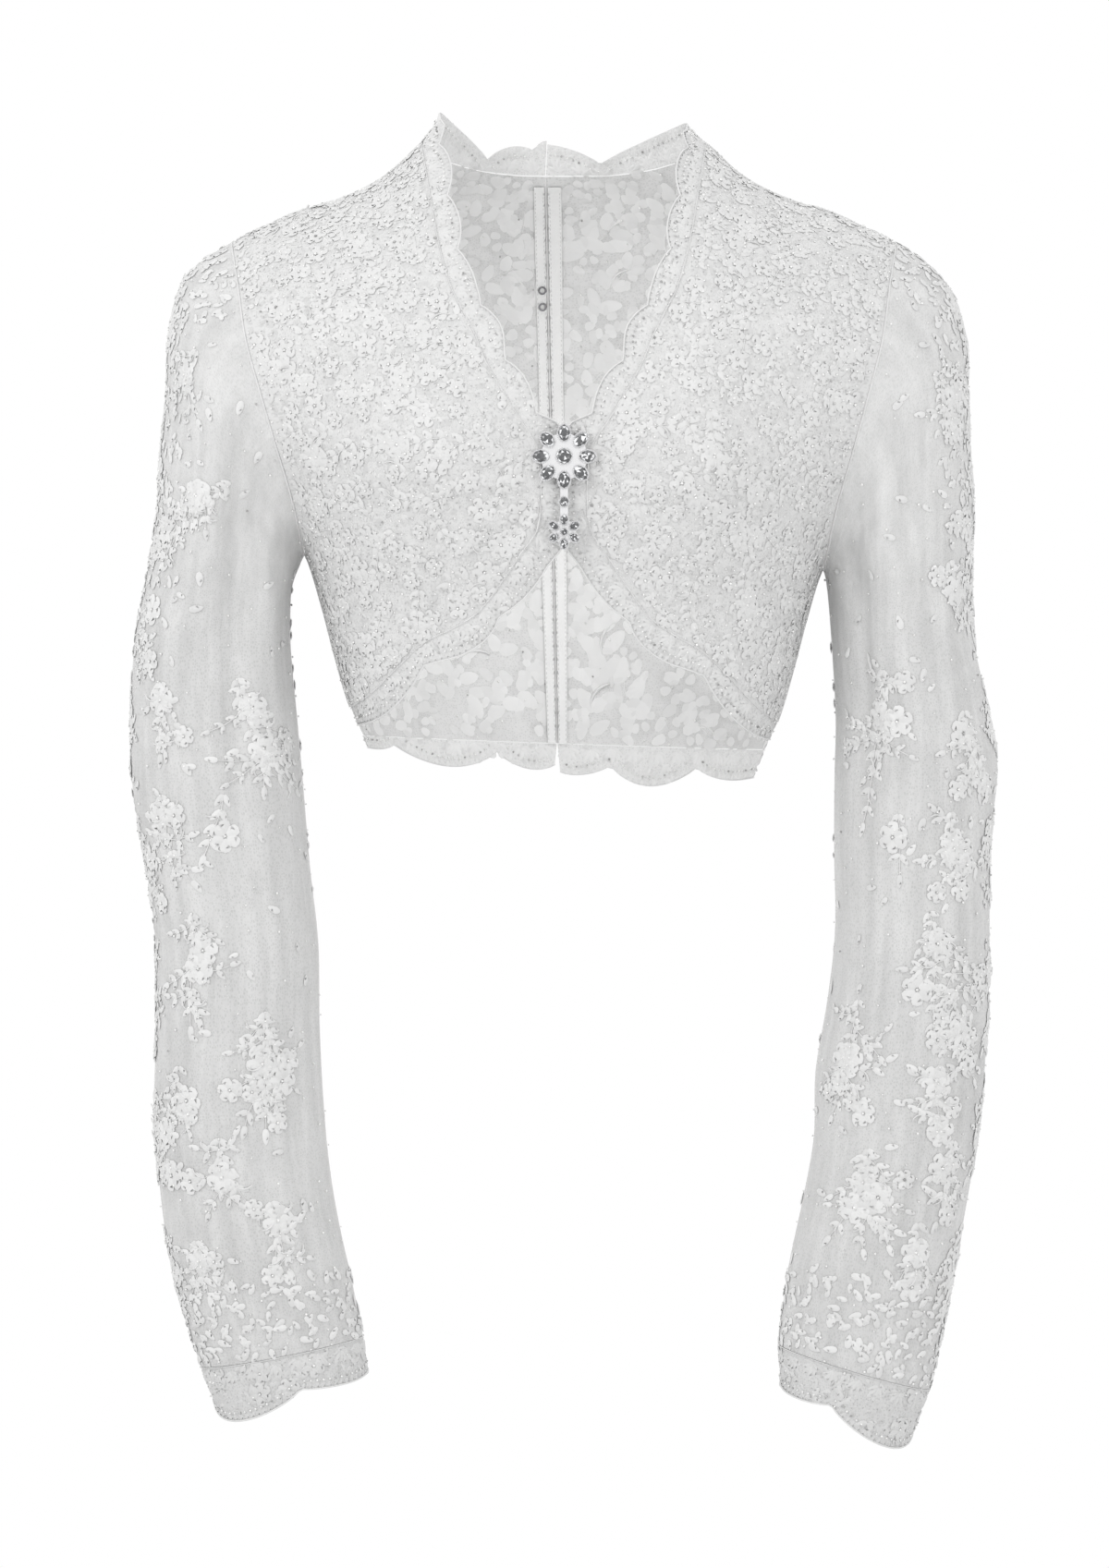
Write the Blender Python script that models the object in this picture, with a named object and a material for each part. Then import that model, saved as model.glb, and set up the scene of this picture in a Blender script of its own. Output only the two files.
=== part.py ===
"""A lace bolero jacket, hollow and standing as it is worn, with a stone-set brooch at the front.

Metres, +Z up. The fronts face -Y and the wearer's left is +X. The origin is the middle of the neck
base, level with the shoulder line. Each cloth piece is a thin closed wall. Its outer face follows the
formulas below and its inner face lies one cloth thickness behind it. Tables hold |x|, and each side
multiplies it by its sign.
"""
from collections import namedtuple
from math import cos, pi, radians, sin

import bmesh
import bpy
import numpy as np

CLOTH = 0.0012
BORDER = 0.0015
SEAM = 0.0004
SLEEVE_SEAM = 0.0008

ARMHOLE_ROWS = 12
SIDE_ROWS = 5
PANEL_ROWS = ARMHOLE_ROWS + SIDE_ROWS
PANEL_COLUMNS = 12
NECK_COLUMNS = 6
SLEEVE_RINGS = 26
ELBOW_RING = 14

SIDES = {"right": -1, "left": 1}
FRONT = -1
BACK = 1

SQUARENESS = 0.8
SHOULDER_ROUND = 0.090
BUST_REACH = 0.014
BUST_X = 0.074
BUST_Z = -0.145
BUST_WIDTH = 0.042
BUST_HEIGHT = 0.050
LEAN = 0.035
LEAN_TOP = -0.050
LEAN_FULL = -0.250

NECK_POINT_X = 0.0775
SHOULDER_TIP_X = 0.179
UNDERARM_Z = -0.198
FRONT_SIDE_Z = -0.280
BACK_HEM_Z = -0.2945
CENTRE_BACK_TOP_X = -0.010
CENTRE_BACK_HEM_X = -0.0035

TorsoRow = namedtuple("TorsoRow", "z half_width front_depth back_depth")
TORSO = [
    TorsoRow(-0.325, 0.0975, 0.0760, 0.0720),
    TorsoRow(-0.300, 0.1065, 0.0775, 0.0730),
    TorsoRow(-0.280, 0.1155, 0.0795, 0.0745),
    TorsoRow(-0.2525, 0.1238, 0.0840, 0.0780),
    TorsoRow(-0.225, 0.1310, 0.0900, 0.0830),
    TorsoRow(-0.198, 0.1395, 0.0970, 0.0880),
    TorsoRow(-0.165, 0.1580, 0.1010, 0.0940),
    TorsoRow(-0.130, 0.1830, 0.1020, 0.0990),
    TorsoRow(-0.090, 0.2030, 0.0970, 0.1000),
    TorsoRow(-0.050, 0.2070, 0.0870, 0.0940),
    TorsoRow(0.000, 0.1980, 0.0670, 0.0780),
    TorsoRow(0.030, 0.1850, 0.0530, 0.0620),
    TorsoRow(0.060, 0.1650, 0.0400, 0.0500),
]

ShoulderRow = namedtuple("ShoulderRow", "x z")
SHOULDER = [
    ShoulderRow(0.0000, 0.0600),
    ShoulderRow(0.0400, 0.0530),
    ShoulderRow(0.0775, 0.0300),
    ShoulderRow(0.0930, 0.0155),
    ShoulderRow(0.1215, 0.0000),
    ShoulderRow(0.1440, -0.0070),
    ShoulderRow(0.1630, -0.0155),
    ShoulderRow(0.1840, -0.0265),
    ShoulderRow(0.2200, -0.0550),
]

ArmholeRow = namedtuple("ArmholeRow", "z x")
ARMHOLE = [
    ArmholeRow(-0.1980, 0.1395),
    ArmholeRow(-0.1700, 0.1440),
    ArmholeRow(-0.1425, 0.1515),
    ArmholeRow(-0.1100, 0.1605),
    ArmholeRow(-0.0800, 0.1685),
    ArmholeRow(-0.0500, 0.1735),
    ArmholeRow(-0.0240, 0.1790),
]

NeckRow = namedtuple("NeckRow", "x z")
BACK_NECK = [
    NeckRow(0.0000, 0.0190),
    NeckRow(0.0300, 0.0195),
    NeckRow(0.0550, 0.0225),
    NeckRow(0.0700, 0.0265),
    NeckRow(0.0775, 0.0300),
]

# The free edge of the front from the neck, down the opening and out to the side, and the seam of its
# lace border. The border is flat against its twin from CENTRE_FROM to CENTRE_TO.
EdgeRow = namedtuple("EdgeRow", "edge_x edge_z seam_x seam_z")
FRONT_EDGE = [
    EdgeRow(0.0665, 0.0425, 0.0775, 0.0300),
    EdgeRow(0.0632, 0.0200, 0.0748, 0.0150),
    EdgeRow(0.0590, -0.0065, 0.0708, -0.0075),
    EdgeRow(0.0548, -0.0300, 0.0668, -0.0300),
    EdgeRow(0.0483, -0.0540, 0.0605, -0.0545),
    EdgeRow(0.0415, -0.0655, 0.0530, -0.0705),
    EdgeRow(0.0352, -0.0780, 0.0468, -0.0830),
    EdgeRow(0.0305, -0.0915, 0.0410, -0.0975),
    EdgeRow(0.0240, -0.1035, 0.0335, -0.1110),
    EdgeRow(0.0175, -0.1150, 0.0265, -0.1230),
    EdgeRow(0.0105, -0.1255, 0.0195, -0.1335),
    EdgeRow(0.0015, -0.1330, 0.0140, -0.1430),
    EdgeRow(0.0005, -0.1500, 0.0125, -0.1545),
    EdgeRow(0.0005, -0.1750, 0.0125, -0.1725),
    EdgeRow(0.0010, -0.1940, 0.0145, -0.1855),
    EdgeRow(0.0120, -0.2060, 0.0225, -0.1970),
    EdgeRow(0.0255, -0.2240, 0.0350, -0.2155),
    EdgeRow(0.0375, -0.2385, 0.0455, -0.2285),
    EdgeRow(0.0520, -0.2480, 0.0575, -0.2365),
    EdgeRow(0.0680, -0.2560, 0.0730, -0.2445),
    EdgeRow(0.0820, -0.2690, 0.0880, -0.2580),
    EdgeRow(0.0970, -0.2830, 0.1020, -0.2715),
    EdgeRow(0.1102, -0.2920, 0.1155, -0.2800),
]
CENTRE_FROM = 11
CENTRE_TO = 14
OPENING_ROWS = 14

NECKLINE_SCALLOP = 0.031
LOWER_SCALLOP = 0.043
FRONT_SCALLOP_DEPTH = 0.42
HEM_HEIGHT = 0.0110
HEM_SCALLOP = 0.056
HEM_SCALLOP_DEPTH = 0.0050
BAND_HEIGHT = 0.0125
BAND_SCALLOPS = 3.5
BAND_SCALLOP_DEPTH = 0.0045
BAND_LEAN_BACK = 0.0050
BAND_LEAN_SIDE = 0.0110
SCALLOP_ROUND = 0.7

# A sleeve section runs from its outer point to the point beside the body. depth is half of it from
# front to back. The last row is the free edge of the cuff and the one before it the cuff seam.
SleeveRow = namedtuple("SleeveRow", "outer_x outer_z inner_x inner_z depth")
SLEEVES = {
    "right": [
        SleeveRow(0.1790, -0.0240, 0.1395, -0.1980, 0.058),
        SleeveRow(0.1950, -0.0340, 0.1408, -0.1993, 0.058),
        SleeveRow(0.2065, -0.0480, 0.1418, -0.2010, 0.058),
        SleeveRow(0.2130, -0.0760, 0.1430, -0.2030, 0.057),
        SleeveRow(0.2145, -0.1080, 0.1442, -0.2055, 0.056),
        SleeveRow(0.2175, -0.1400, 0.1453, -0.2087, 0.055),
        SleeveRow(0.2200, -0.1720, 0.1461, -0.2130, 0.054),
        SleeveRow(0.2250, -0.2050, 0.1466, -0.2200, 0.053),
        SleeveRow(0.2320, -0.2440, 0.1465, -0.2430, 0.051),
        SleeveRow(0.2335, -0.2850, 0.1430, -0.2810, 0.050),
        SleeveRow(0.2325, -0.3220, 0.1395, -0.3200, 0.049),
        SleeveRow(0.2255, -0.3620, 0.1360, -0.3620, 0.048),
        SleeveRow(0.2205, -0.4030, 0.1315, -0.4030, 0.046),
        SleeveRow(0.2200, -0.4480, 0.1308, -0.4460, 0.044),
        SleeveRow(0.2213, -0.4880, 0.1290, -0.4840, 0.042),
        SleeveRow(0.2190, -0.5250, 0.1260, -0.5190, 0.040),
        SleeveRow(0.2150, -0.5600, 0.1210, -0.5510, 0.038),
        SleeveRow(0.2065, -0.5980, 0.1135, -0.5850, 0.035),
        SleeveRow(0.1960, -0.6320, 0.1075, -0.6150, 0.032),
        SleeveRow(0.1885, -0.6510, 0.1055, -0.6330, 0.030),
    ],
    "left": [
        SleeveRow(0.1790, -0.0240, 0.1395, -0.1980, 0.058),
        SleeveRow(0.1950, -0.0350, 0.1400, -0.2008, 0.058),
        SleeveRow(0.2080, -0.0500, 0.1404, -0.2036, 0.058),
        SleeveRow(0.2165, -0.0760, 0.1408, -0.2065, 0.057),
        SleeveRow(0.2182, -0.1060, 0.1411, -0.2096, 0.056),
        SleeveRow(0.2190, -0.1380, 0.1415, -0.2132, 0.055),
        SleeveRow(0.2213, -0.1680, 0.1420, -0.2185, 0.054),
        SleeveRow(0.2200, -0.2010, 0.1428, -0.2280, 0.053),
        SleeveRow(0.2215, -0.2380, 0.1443, -0.2500, 0.051),
        SleeveRow(0.2290, -0.2770, 0.1459, -0.2820, 0.050),
        SleeveRow(0.2343, -0.3090, 0.1453, -0.3120, 0.049),
        SleeveRow(0.2300, -0.3500, 0.1450, -0.3530, 0.048),
        SleeveRow(0.2300, -0.3950, 0.1456, -0.3950, 0.047),
        SleeveRow(0.2293, -0.4350, 0.1415, -0.4330, 0.045),
        SleeveRow(0.2270, -0.4750, 0.1350, -0.4720, 0.043),
        SleeveRow(0.2225, -0.5130, 0.1340, -0.5080, 0.041),
        SleeveRow(0.2165, -0.5500, 0.1280, -0.5420, 0.038),
        SleeveRow(0.2080, -0.5950, 0.1200, -0.5800, 0.035),
        SleeveRow(0.1975, -0.6440, 0.1152, -0.6200, 0.032),
        SleeveRow(0.1885, -0.6650, 0.1165, -0.6400, 0.030),
    ],
}
LAST_CAP_ROW = 6
CUFF_SCALLOPS = 5
CUFF_SCALLOP_DEPTH = 0.0075

# Soft folds of the sleeves. angle is turned from the outer point towards the front, start and end are
# shares of the sleeve's length and height is how far the ridge stands out.
FoldRow = namedtuple("FoldRow", "side angle width start end height")
FOLDS = [
    FoldRow("right", 78, 17, 0.02, 0.50, 0.0038),
    FoldRow("right", 108, 15, 0.05, 0.62, -0.0046),
    FoldRow("right", 138, 16, 0.10, 0.72, 0.0042),
    FoldRow("right", 235, 20, 0.05, 0.55, -0.0036),
    FoldRow("right", 300, 22, 0.30, 0.90, 0.0028),
    FoldRow("left", 72, 18, 0.05, 0.45, -0.0030),
    FoldRow("left", 104, 15, 0.03, 0.70, 0.0044),
    FoldRow("left", 136, 15, 0.08, 0.62, -0.0044),
    FoldRow("left", 232, 20, 0.10, 0.60, 0.0034),
    FoldRow("left", 296, 22, 0.25, 0.85, -0.0028),
]

# Soft pulls in the fronts that run from the brooch out to the bust, as heights along a turn about it.
PULL_X = 0.012
PULL_Z = -0.165
PULL_COUNT = 9
PULL_HEIGHT = 0.0011
PULL_LENGTH = 0.085

PLACKET = 0.0010
PLACKET_TOP_ROW = 1
PLACKET_SHARE = 0.36

# The brooch lies flat on the borders where the fronts meet. Stones are set out from its own middle.
BROOCH_Z = -0.1470
BROOCH_CLEAR = 0.0003
PLATE = 0.0012
CUP = 0.0022
CUP_WALL = 0.0006
CUP_SINK = 0.0004
STONE_RISE = 0.0022
STONE_TABLE = 0.55
OVAL = 0.74
PETAL_RING = 0.0122
PETAL_COUNT = 8
PETAL_STONE = 0.0043
HEART_STONE = 0.0040
LINK_Z = -0.0236
LINK_STONE = 0.0026
LINK_WIDTH = 0.0040
DROP_Z = -0.0392
DROP_RING = 0.0062
DROP_COUNT = 6
DROP_STONE = 0.0027
DROP_HEART = 0.0018
CUP_SIDES = 12
STONE_SIDES = 10

HOOK_HEIGHTS = {"upper": -0.041, "lower": -0.050}
HOOK_RING = 0.0019
HOOK_WIRE = 0.0005
HOOK_GAP = 0.0006


def clear_scene():
    for thing in list(bpy.data.objects):
        bpy.data.objects.remove(thing, do_unlink=True)


def make_material(name, colour, roughness, metallic=0.0):
    material = bpy.data.materials.new(name)
    material.use_nodes = True
    shader = material.node_tree.nodes["Principled BSDF"]
    shader.inputs["Base Color"].default_value = (*colour, 1.0)
    shader.inputs["Roughness"].default_value = roughness
    shader.inputs["Metallic"].default_value = metallic
    return material


def spline(knots, values, at):
    """Smooth curve through rising knots, straight beyond its ends."""
    knots = np.asarray(knots, float)
    values = np.asarray(values, float)
    steps = np.diff(knots)
    rises = np.diff(values) / steps
    slopes = np.empty_like(values)
    slopes[1:-1] = (rises[:-1] * steps[1:] + rises[1:] * steps[:-1]) / (steps[:-1] + steps[1:])
    slopes[0] = rises[0]
    slopes[-1] = rises[-1]
    at = np.asarray(at, float)
    spot = np.clip(np.searchsorted(knots, at) - 1, 0, len(steps) - 1)
    width = steps[spot]
    share = np.clip((at - knots[spot]) / width, 0.0, 1.0)
    beyond = at - np.clip(at, knots[0], knots[-1])
    curve = (
        values[spot] * (1 + 2 * share) * (1 - share) ** 2
        + slopes[spot] * width * share * (1 - share) ** 2
        + values[spot + 1] * share**2 * (3 - 2 * share)
        - slopes[spot + 1] * width * share**2 * (1 - share)
    )
    return curve + beyond * np.where(beyond < 0, slopes[0], slopes[-1])


def column(table, knot, name, at):
    return spline([getattr(row, knot) for row in table], [getattr(row, name) for row in table], at)


def half_width(z):
    return column(TORSO, "z", "half_width", z)


def shoulder_height(x):
    return column(SHOULDER, "x", "z", np.abs(x))


def armhole_x(z):
    return np.minimum(column(ARMHOLE, "z", "x", z), half_width(z))


def turn_at(x, z):
    """The turn round the body at which the surface reaches x at height z, 0 at the centre."""
    return np.arcsin(np.clip(x / half_width(z), -1.0, 1.0))


def torso(turn, z, side, face):
    """Points of the body surface, face -1 for the front and 1 for the back."""
    turn = np.asarray(turn, float)
    z = np.asarray(z, float)
    x = half_width(z) * np.sin(turn)
    below = np.clip((shoulder_height(x) - z) / SHOULDER_ROUND, 0.0, 1.0)
    roll = np.sqrt(1.0 - (1.0 - below) ** 2)
    flat = np.abs(np.cos(turn)) ** SQUARENESS
    depth = column(TORSO, "z", "front_depth" if face == FRONT else "back_depth", z) * flat
    if face == FRONT:
        bust = np.exp(-(((np.abs(x) - BUST_X) / BUST_WIDTH) ** 2) - ((z - BUST_Z) / BUST_HEIGHT) ** 2)
        depth = depth + BUST_REACH * bust * flat + pulls(x, z) * flat
    share = np.clip((LEAN_TOP - z) / (LEAN_TOP - LEAN_FULL), 0.0, 1.0)
    lean = LEAN * share * share * (3 - 2 * share)
    return np.stack([side * x, face * (SEAM / 2 + depth * roll), z - lean * side * x], axis=-1)


def pulls(x, z):
    far = np.hypot(x - PULL_X, z - PULL_Z)
    turn = np.arctan2(z - PULL_Z, x - PULL_X)
    swell = np.clip(far / 0.02, 0.0, 1.0) ** 2 * np.exp(-((far / PULL_LENGTH) ** 2))
    return PULL_HEIGHT * swell * np.sin(PULL_COUNT * turn + 0.6)


def even_steps(points, count, first, last):
    """count + 1 table positions from first to last, evenly far apart along the curve through points."""
    fine = np.linspace(first, last, 40 * count + 1)
    rows = np.arange(len(points))
    line = np.stack([spline(rows, points[:, axis], fine) for axis in range(points.shape[1])], axis=-1)
    walked = np.concatenate([[0.0], np.cumsum(np.linalg.norm(np.diff(line, axis=0), axis=1))])
    return np.interp(np.linspace(0.0, walked[-1], count + 1), walked, fine)


def patch(left, right, top, bottom):
    """Grid of (turn, z) between four edge lines, rows from top to bottom."""
    v = np.linspace(0.0, 1.0, len(left))[:, None, None]
    u = np.linspace(0.0, 1.0, len(top))[None, :, None]
    across = (1 - u) * left[:, None] + u * right[:, None]
    down = (1 - v) * top[None] + v * bottom[None]
    corners = (1 - v) * ((1 - u) * top[0] + u * top[-1]) + v * ((1 - u) * bottom[0] + u * bottom[-1])
    return across + down - corners


def outer_line(side_z):
    """The armhole and then the side seam down to side_z, as (turn, z)."""
    z = armhole_heights()
    arm = np.stack([turn_at(armhole_x(z), z), z], axis=-1)
    side = np.linspace(UNDERARM_Z, side_z, SIDE_ROWS + 1)[1:]
    return np.concatenate([arm, np.stack([np.full_like(side, pi / 2), side], axis=-1)])


def armhole_heights():
    top = float(shoulder_height(SHOULDER_TIP_X))
    middle = (top + UNDERARM_Z) / 2
    return middle + (top - UNDERARM_Z) / 2 * np.cos(np.linspace(0.0, pi, ARMHOLE_ROWS + 1))


def shoulder_line(count):
    x = np.linspace(NECK_POINT_X, SHOULDER_TIP_X, count + 1)
    z = shoulder_height(x)
    return np.stack([turn_at(x, z), z], axis=-1)


def edge_table():
    return np.array([[row.edge_x, row.edge_z, row.seam_x, row.seam_z] for row in FRONT_EDGE])


def edge_at(places):
    rows = np.arange(len(FRONT_EDGE))
    table = edge_table()
    return np.stack([spline(rows, table[:, axis], places) for axis in range(4)], axis=-1)


def front_places():
    """Table positions of the front's vertices down its opening, and along its lower seam."""
    seam = edge_table()[:, 2:]
    opening = even_steps(seam, PANEL_ROWS, 0, OPENING_ROWS)
    lower = even_steps(seam, PANEL_COLUMNS, OPENING_ROWS, len(FRONT_EDGE) - 1)
    return opening, lower


def front_grid(side):
    opening, lower = (edge_at(places)[:, 2:] for places in front_places())
    left = np.stack([turn_at(opening[:, 0], opening[:, 1]), opening[:, 1]], axis=-1)
    bottom = np.stack([turn_at(lower[:, 0], lower[:, 1]), lower[:, 1]], axis=-1)
    right = outer_line(FRONT_SIDE_Z)
    bottom[-1] = right[-1]
    grid = patch(left, right, shoulder_line(PANEL_COLUMNS), bottom)
    return torso(grid[..., 0], grid[..., 1], side, FRONT)


def centre_back_x(z, side):
    share = (z - BACK_HEM_Z) / (BACK_NECK[0].z - BACK_HEM_Z)
    return side * (CENTRE_BACK_HEM_X + (CENTRE_BACK_TOP_X - CENTRE_BACK_HEM_X) * share) + SEAM / 2


def back_grid(side):
    z = np.linspace(BACK_NECK[0].z, BACK_HEM_Z, PANEL_ROWS + 1)
    left = np.stack([turn_at(centre_back_x(z, side), z), z], axis=-1)
    start = centre_back_x(BACK_NECK[0].z, side)
    neck_x = start + (NECK_POINT_X - start) * np.sin(np.linspace(0.0, pi / 2, NECK_COLUMNS + 1))
    neck_z = column(BACK_NECK, "x", "z", np.abs(neck_x))
    neck = np.stack([turn_at(neck_x, neck_z), neck_z], axis=-1)
    top = np.concatenate([neck, shoulder_line(PANEL_COLUMNS - NECK_COLUMNS)[1:]])
    left[0] = top[0]
    right = outer_line(BACK_HEM_Z)
    turns = np.linspace(left[-1, 0], pi / 2, PANEL_COLUMNS + 1)
    bottom = np.stack([turns, np.full_like(turns, BACK_HEM_Z)], axis=-1)
    grid = patch(left, right, top, bottom)
    return torso(grid[..., 0], grid[..., 1], side, BACK)


def unit(vectors):
    return vectors / np.linalg.norm(vectors, axis=-1, keepdims=True)


def normals(grid, outward, wrap=False):
    """Directions across a grid of points. outward is a point's own rough outward direction."""
    if wrap:
        across = np.roll(grid, -1, axis=1) - np.roll(grid, 1, axis=1)
    else:
        across = np.gradient(grid, axis=1)
    found = unit(np.cross(across, np.gradient(grid, axis=0)))
    return found * np.where((found * outward).sum(-1, keepdims=True) < 0, -1.0, 1.0)


def flatten(directions):
    """The same directions turned into the plane of a seam that lies across Y."""
    directions[..., 1] = 0.0
    return unit(directions)


def add_wall(name, outer, inner, material, wrap=False):
    """A closed wall between two grids of the same size. wrap joins the last column to the first."""
    rows, columns = outer.shape[:2]
    mesh = bmesh.new()
    faces = [[[mesh.verts.new(point) for point in row] for row in grid] for grid in (outer, inner)]
    spans = columns if wrap else columns - 1
    for row in range(rows - 1):
        for col in range(spans):
            following = (col + 1) % columns
            for layer in faces:
                mesh.faces.new(
                    (layer[row][col], layer[row + 1][col], layer[row + 1][following], layer[row][following])
                )
    for row in (0, rows - 1):
        for col in range(spans):
            following = (col + 1) % columns
            mesh.faces.new(
                (faces[0][row][col], faces[0][row][following], faces[1][row][following], faces[1][row][col])
            )
    if not wrap:
        for col in (0, columns - 1):
            for row in range(rows - 1):
                mesh.faces.new(
                    (faces[0][row][col], faces[0][row + 1][col], faces[1][row + 1][col], faces[1][row][col])
                )
    bmesh.ops.recalc_face_normals(mesh, faces=mesh.faces)
    return add_object(name, mesh, material)


def add_object(name, mesh, material):
    data = bpy.data.meshes.new(name)
    mesh.to_mesh(data)
    mesh.free()
    data.shade_smooth()
    data.set_sharp_from_angle(angle=radians(50))
    data.materials.append(material)
    made = bpy.data.objects.new(name, data)
    parts.objects.link(made)
    return made


def panel_directions(grid, face, side):
    """Outward directions of a front or back, level with its seams at the shoulder and the side."""
    outward = np.zeros_like(grid)
    outward[..., 0] = grid[..., 0] * 0.5
    outward[..., 1] = face * 0.1
    outward[..., 2] = np.linspace(0.2, 0.0, len(grid))[:, None]
    found = normals(grid, outward)
    first = NECK_COLUMNS if face == BACK else 0
    found[0, first:] = flatten(found[0, first:])
    found[ARMHOLE_ROWS:, -1] = flatten(found[ARMHOLE_ROWS:, -1])
    return found


def add_panel(name, grid, face, side, material):
    found = panel_directions(grid, face, side)
    return add_wall(name, grid, grid - CLOTH * found, material)


def add_placket(name, grid, side, material):
    """The narrow facing inside a back's centre edge, over a share of the panel's first column."""
    edges = grid[PLACKET_TOP_ROW:, :2].copy()
    found = panel_directions(grid, BACK, side)[PLACKET_TOP_ROW:, :2].copy()
    edges[:, 1] = edges[:, 0] + PLACKET_SHARE * (edges[:, 1] - edges[:, 0])
    found[:, 1] = found[:, 0] + PLACKET_SHARE * (found[:, 1] - found[:, 0])
    base = edges - (CLOTH + SEAM) * found
    return add_wall(name, base, base - PLACKET * found, material)


def between(points, pieces):
    """The same broken line with each stretch cut into pieces equal parts."""
    places = np.linspace(0, len(points) - 1, (len(points) - 1) * pieces + 1)
    rows = np.arange(len(points))
    return np.stack([np.interp(places, rows, points[:, axis]) for axis in range(points.shape[1])], axis=-1)


def walk(points):
    return np.concatenate([[0.0], np.cumsum(np.linalg.norm(np.diff(points, axis=0), axis=1))])


def scallop(turns):
    """Round lobes between sharp cusps, 0 at each whole turn and 1 half way."""
    return np.abs(np.sin(pi * turns)) ** SCALLOP_ROUND


def add_border(name, seam, edge, outward, material, level_ends=()):
    """A lace border from a seam line to its free edge. level_ends lie against another border."""
    seam = seam + SEAM * unit(edge - seam)
    grid = np.stack([seam, edge])
    found = normals(grid, outward)
    for end in level_ends:
        found[:, end] = flatten(found[:, end])
    return add_wall(name, grid, grid - BORDER * found, material)


def add_front_edging(name, side, material):
    """The scalloped border of a front, down its opening and along its lower edge to the side."""
    opening, lower = front_places()
    places = np.concatenate([opening, lower[1:]])
    fine = between(places[:, None], 3)[:, 0]
    grid = front_grid(side)
    seam = between(np.concatenate([grid[:, 0], grid[-1, 1:]]), 3)
    line = edge_at(fine)
    far = walk(line[:, :2])
    corner = np.interp(OPENING_ROWS, fine, far)
    start = np.interp(CENTRE_FROM, fine, far)
    lobes = np.where(
        far < corner,
        scallop(0.5 + far * round(start / NECKLINE_SCALLOP - 0.5) / start),
        scallop((far - corner) * round((far[-1] - corner) / LOWER_SCALLOP) / (far[-1] - corner)),
    )
    fade = np.clip(np.maximum(CENTRE_FROM - fine, fine - CENTRE_TO), 0.0, 1.0)
    reach = 1.0 + FRONT_SCALLOP_DEPTH * fade * (lobes - 0.6)
    reach[0] = 1.0
    flat = line[:, 2:] + (line[:, :2] - line[:, 2:]) * reach[:, None]
    edge = torso(turn_at(flat[:, 0], flat[:, 1]), flat[:, 1], side, FRONT)
    edge[-1, 1] = -SEAM / 2
    edge[0, 0] = side * line[0, 0]
    outward = np.zeros((2, len(edge), 3))
    outward[..., 0] = side * 0.5
    outward[..., 1] = -1.0
    return add_border(name, seam, edge, outward, material, level_ends=(0, -1))


def add_hem(name, side, material):
    seam = between(back_grid(side)[-1], 3)
    far = walk(seam)
    lobes = scallop((far[-1] - far) / HEM_SCALLOP + 0.25)
    z = BACK_HEM_Z - HEM_HEIGHT - HEM_SCALLOP_DEPTH * (lobes - 0.5)
    start = turn_at(centre_back_x(BACK_HEM_Z, side), BACK_HEM_Z)
    turns = between(np.linspace(start, pi / 2, PANEL_COLUMNS + 1)[:, None], 3)
    edge = torso(turns[:, 0], z, side, BACK)
    outward = np.zeros((2, len(edge), 3))
    outward[..., 0] = seam[:, 0]
    outward[..., 1] = 0.1
    return add_border(name, seam, edge, outward, material, level_ends=(-1,))


def add_band(name, side, material):
    """The standing half of the neck border, from the centre back to the shoulder seam."""
    seam = between(back_grid(side)[0, : NECK_COLUMNS + 1], 4)
    far = walk(seam) / walk(seam)[-1]
    inward = -unit(seam * [1.0, 1.0, 0.0])
    lean = BAND_LEAN_BACK + (BAND_LEAN_SIDE - BAND_LEAN_BACK) * far**3
    rise = BAND_HEIGHT + BAND_SCALLOP_DEPTH * (scallop(far * BAND_SCALLOPS) - 1.0)
    edge = seam + inward * lean[:, None]
    edge[:, 2] += rise
    edge[-1, 1] = SEAM / 2
    outward = -inward[None] * np.ones((2, 1, 1))
    return add_border(name, seam, edge, outward, material, level_ends=(-1,))


def armhole_loop(side):
    """The armhole seam, once round from the shoulder tip by the front and back by the rear."""
    z = armhole_heights()
    turns = turn_at(armhole_x(z), z)
    front = torso(turns, z, side, FRONT)
    back = torso(turns, z, side, BACK)
    loop = np.concatenate([front, back[-2:0:-1]])
    loop[0, 1] = 0.0
    loop[ARMHOLE_ROWS, 1] = 0.0
    return loop


def sleeve_section(name, place, angles):
    """An oval section of a sleeve at a position in its table."""
    table = SLEEVES[name]
    rows = np.arange(len(table))
    outer_x, outer_z, inner_x, inner_z, depth = (
        float(spline(rows, [getattr(row, field) for row in table], place)) for field in SleeveRow._fields
    )
    side = SIDES[name]
    middle = np.array([side * (outer_x + inner_x) / 2, 0.0, (outer_z + inner_z) / 2])
    reach = np.array([side * (outer_x - inner_x) / 2, 0.0, (outer_z - inner_z) / 2])
    return middle + np.cos(angles)[:, None] * reach + np.sin(angles)[:, None] * [0.0, -depth, 0.0]


def fold_height(name, share, angles):
    total = np.zeros_like(angles)
    for fold in FOLDS:
        if fold.side != name:
            continue
        along = np.clip((share - fold.start) / (fold.end - fold.start), 0.0, 1.0)
        away = (angles - radians(fold.angle) + pi) % (2 * pi) - pi
        total += fold.height * sin(pi * along) ** 0.8 * np.exp(-((away / radians(fold.width)) ** 2))
    return total


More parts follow.
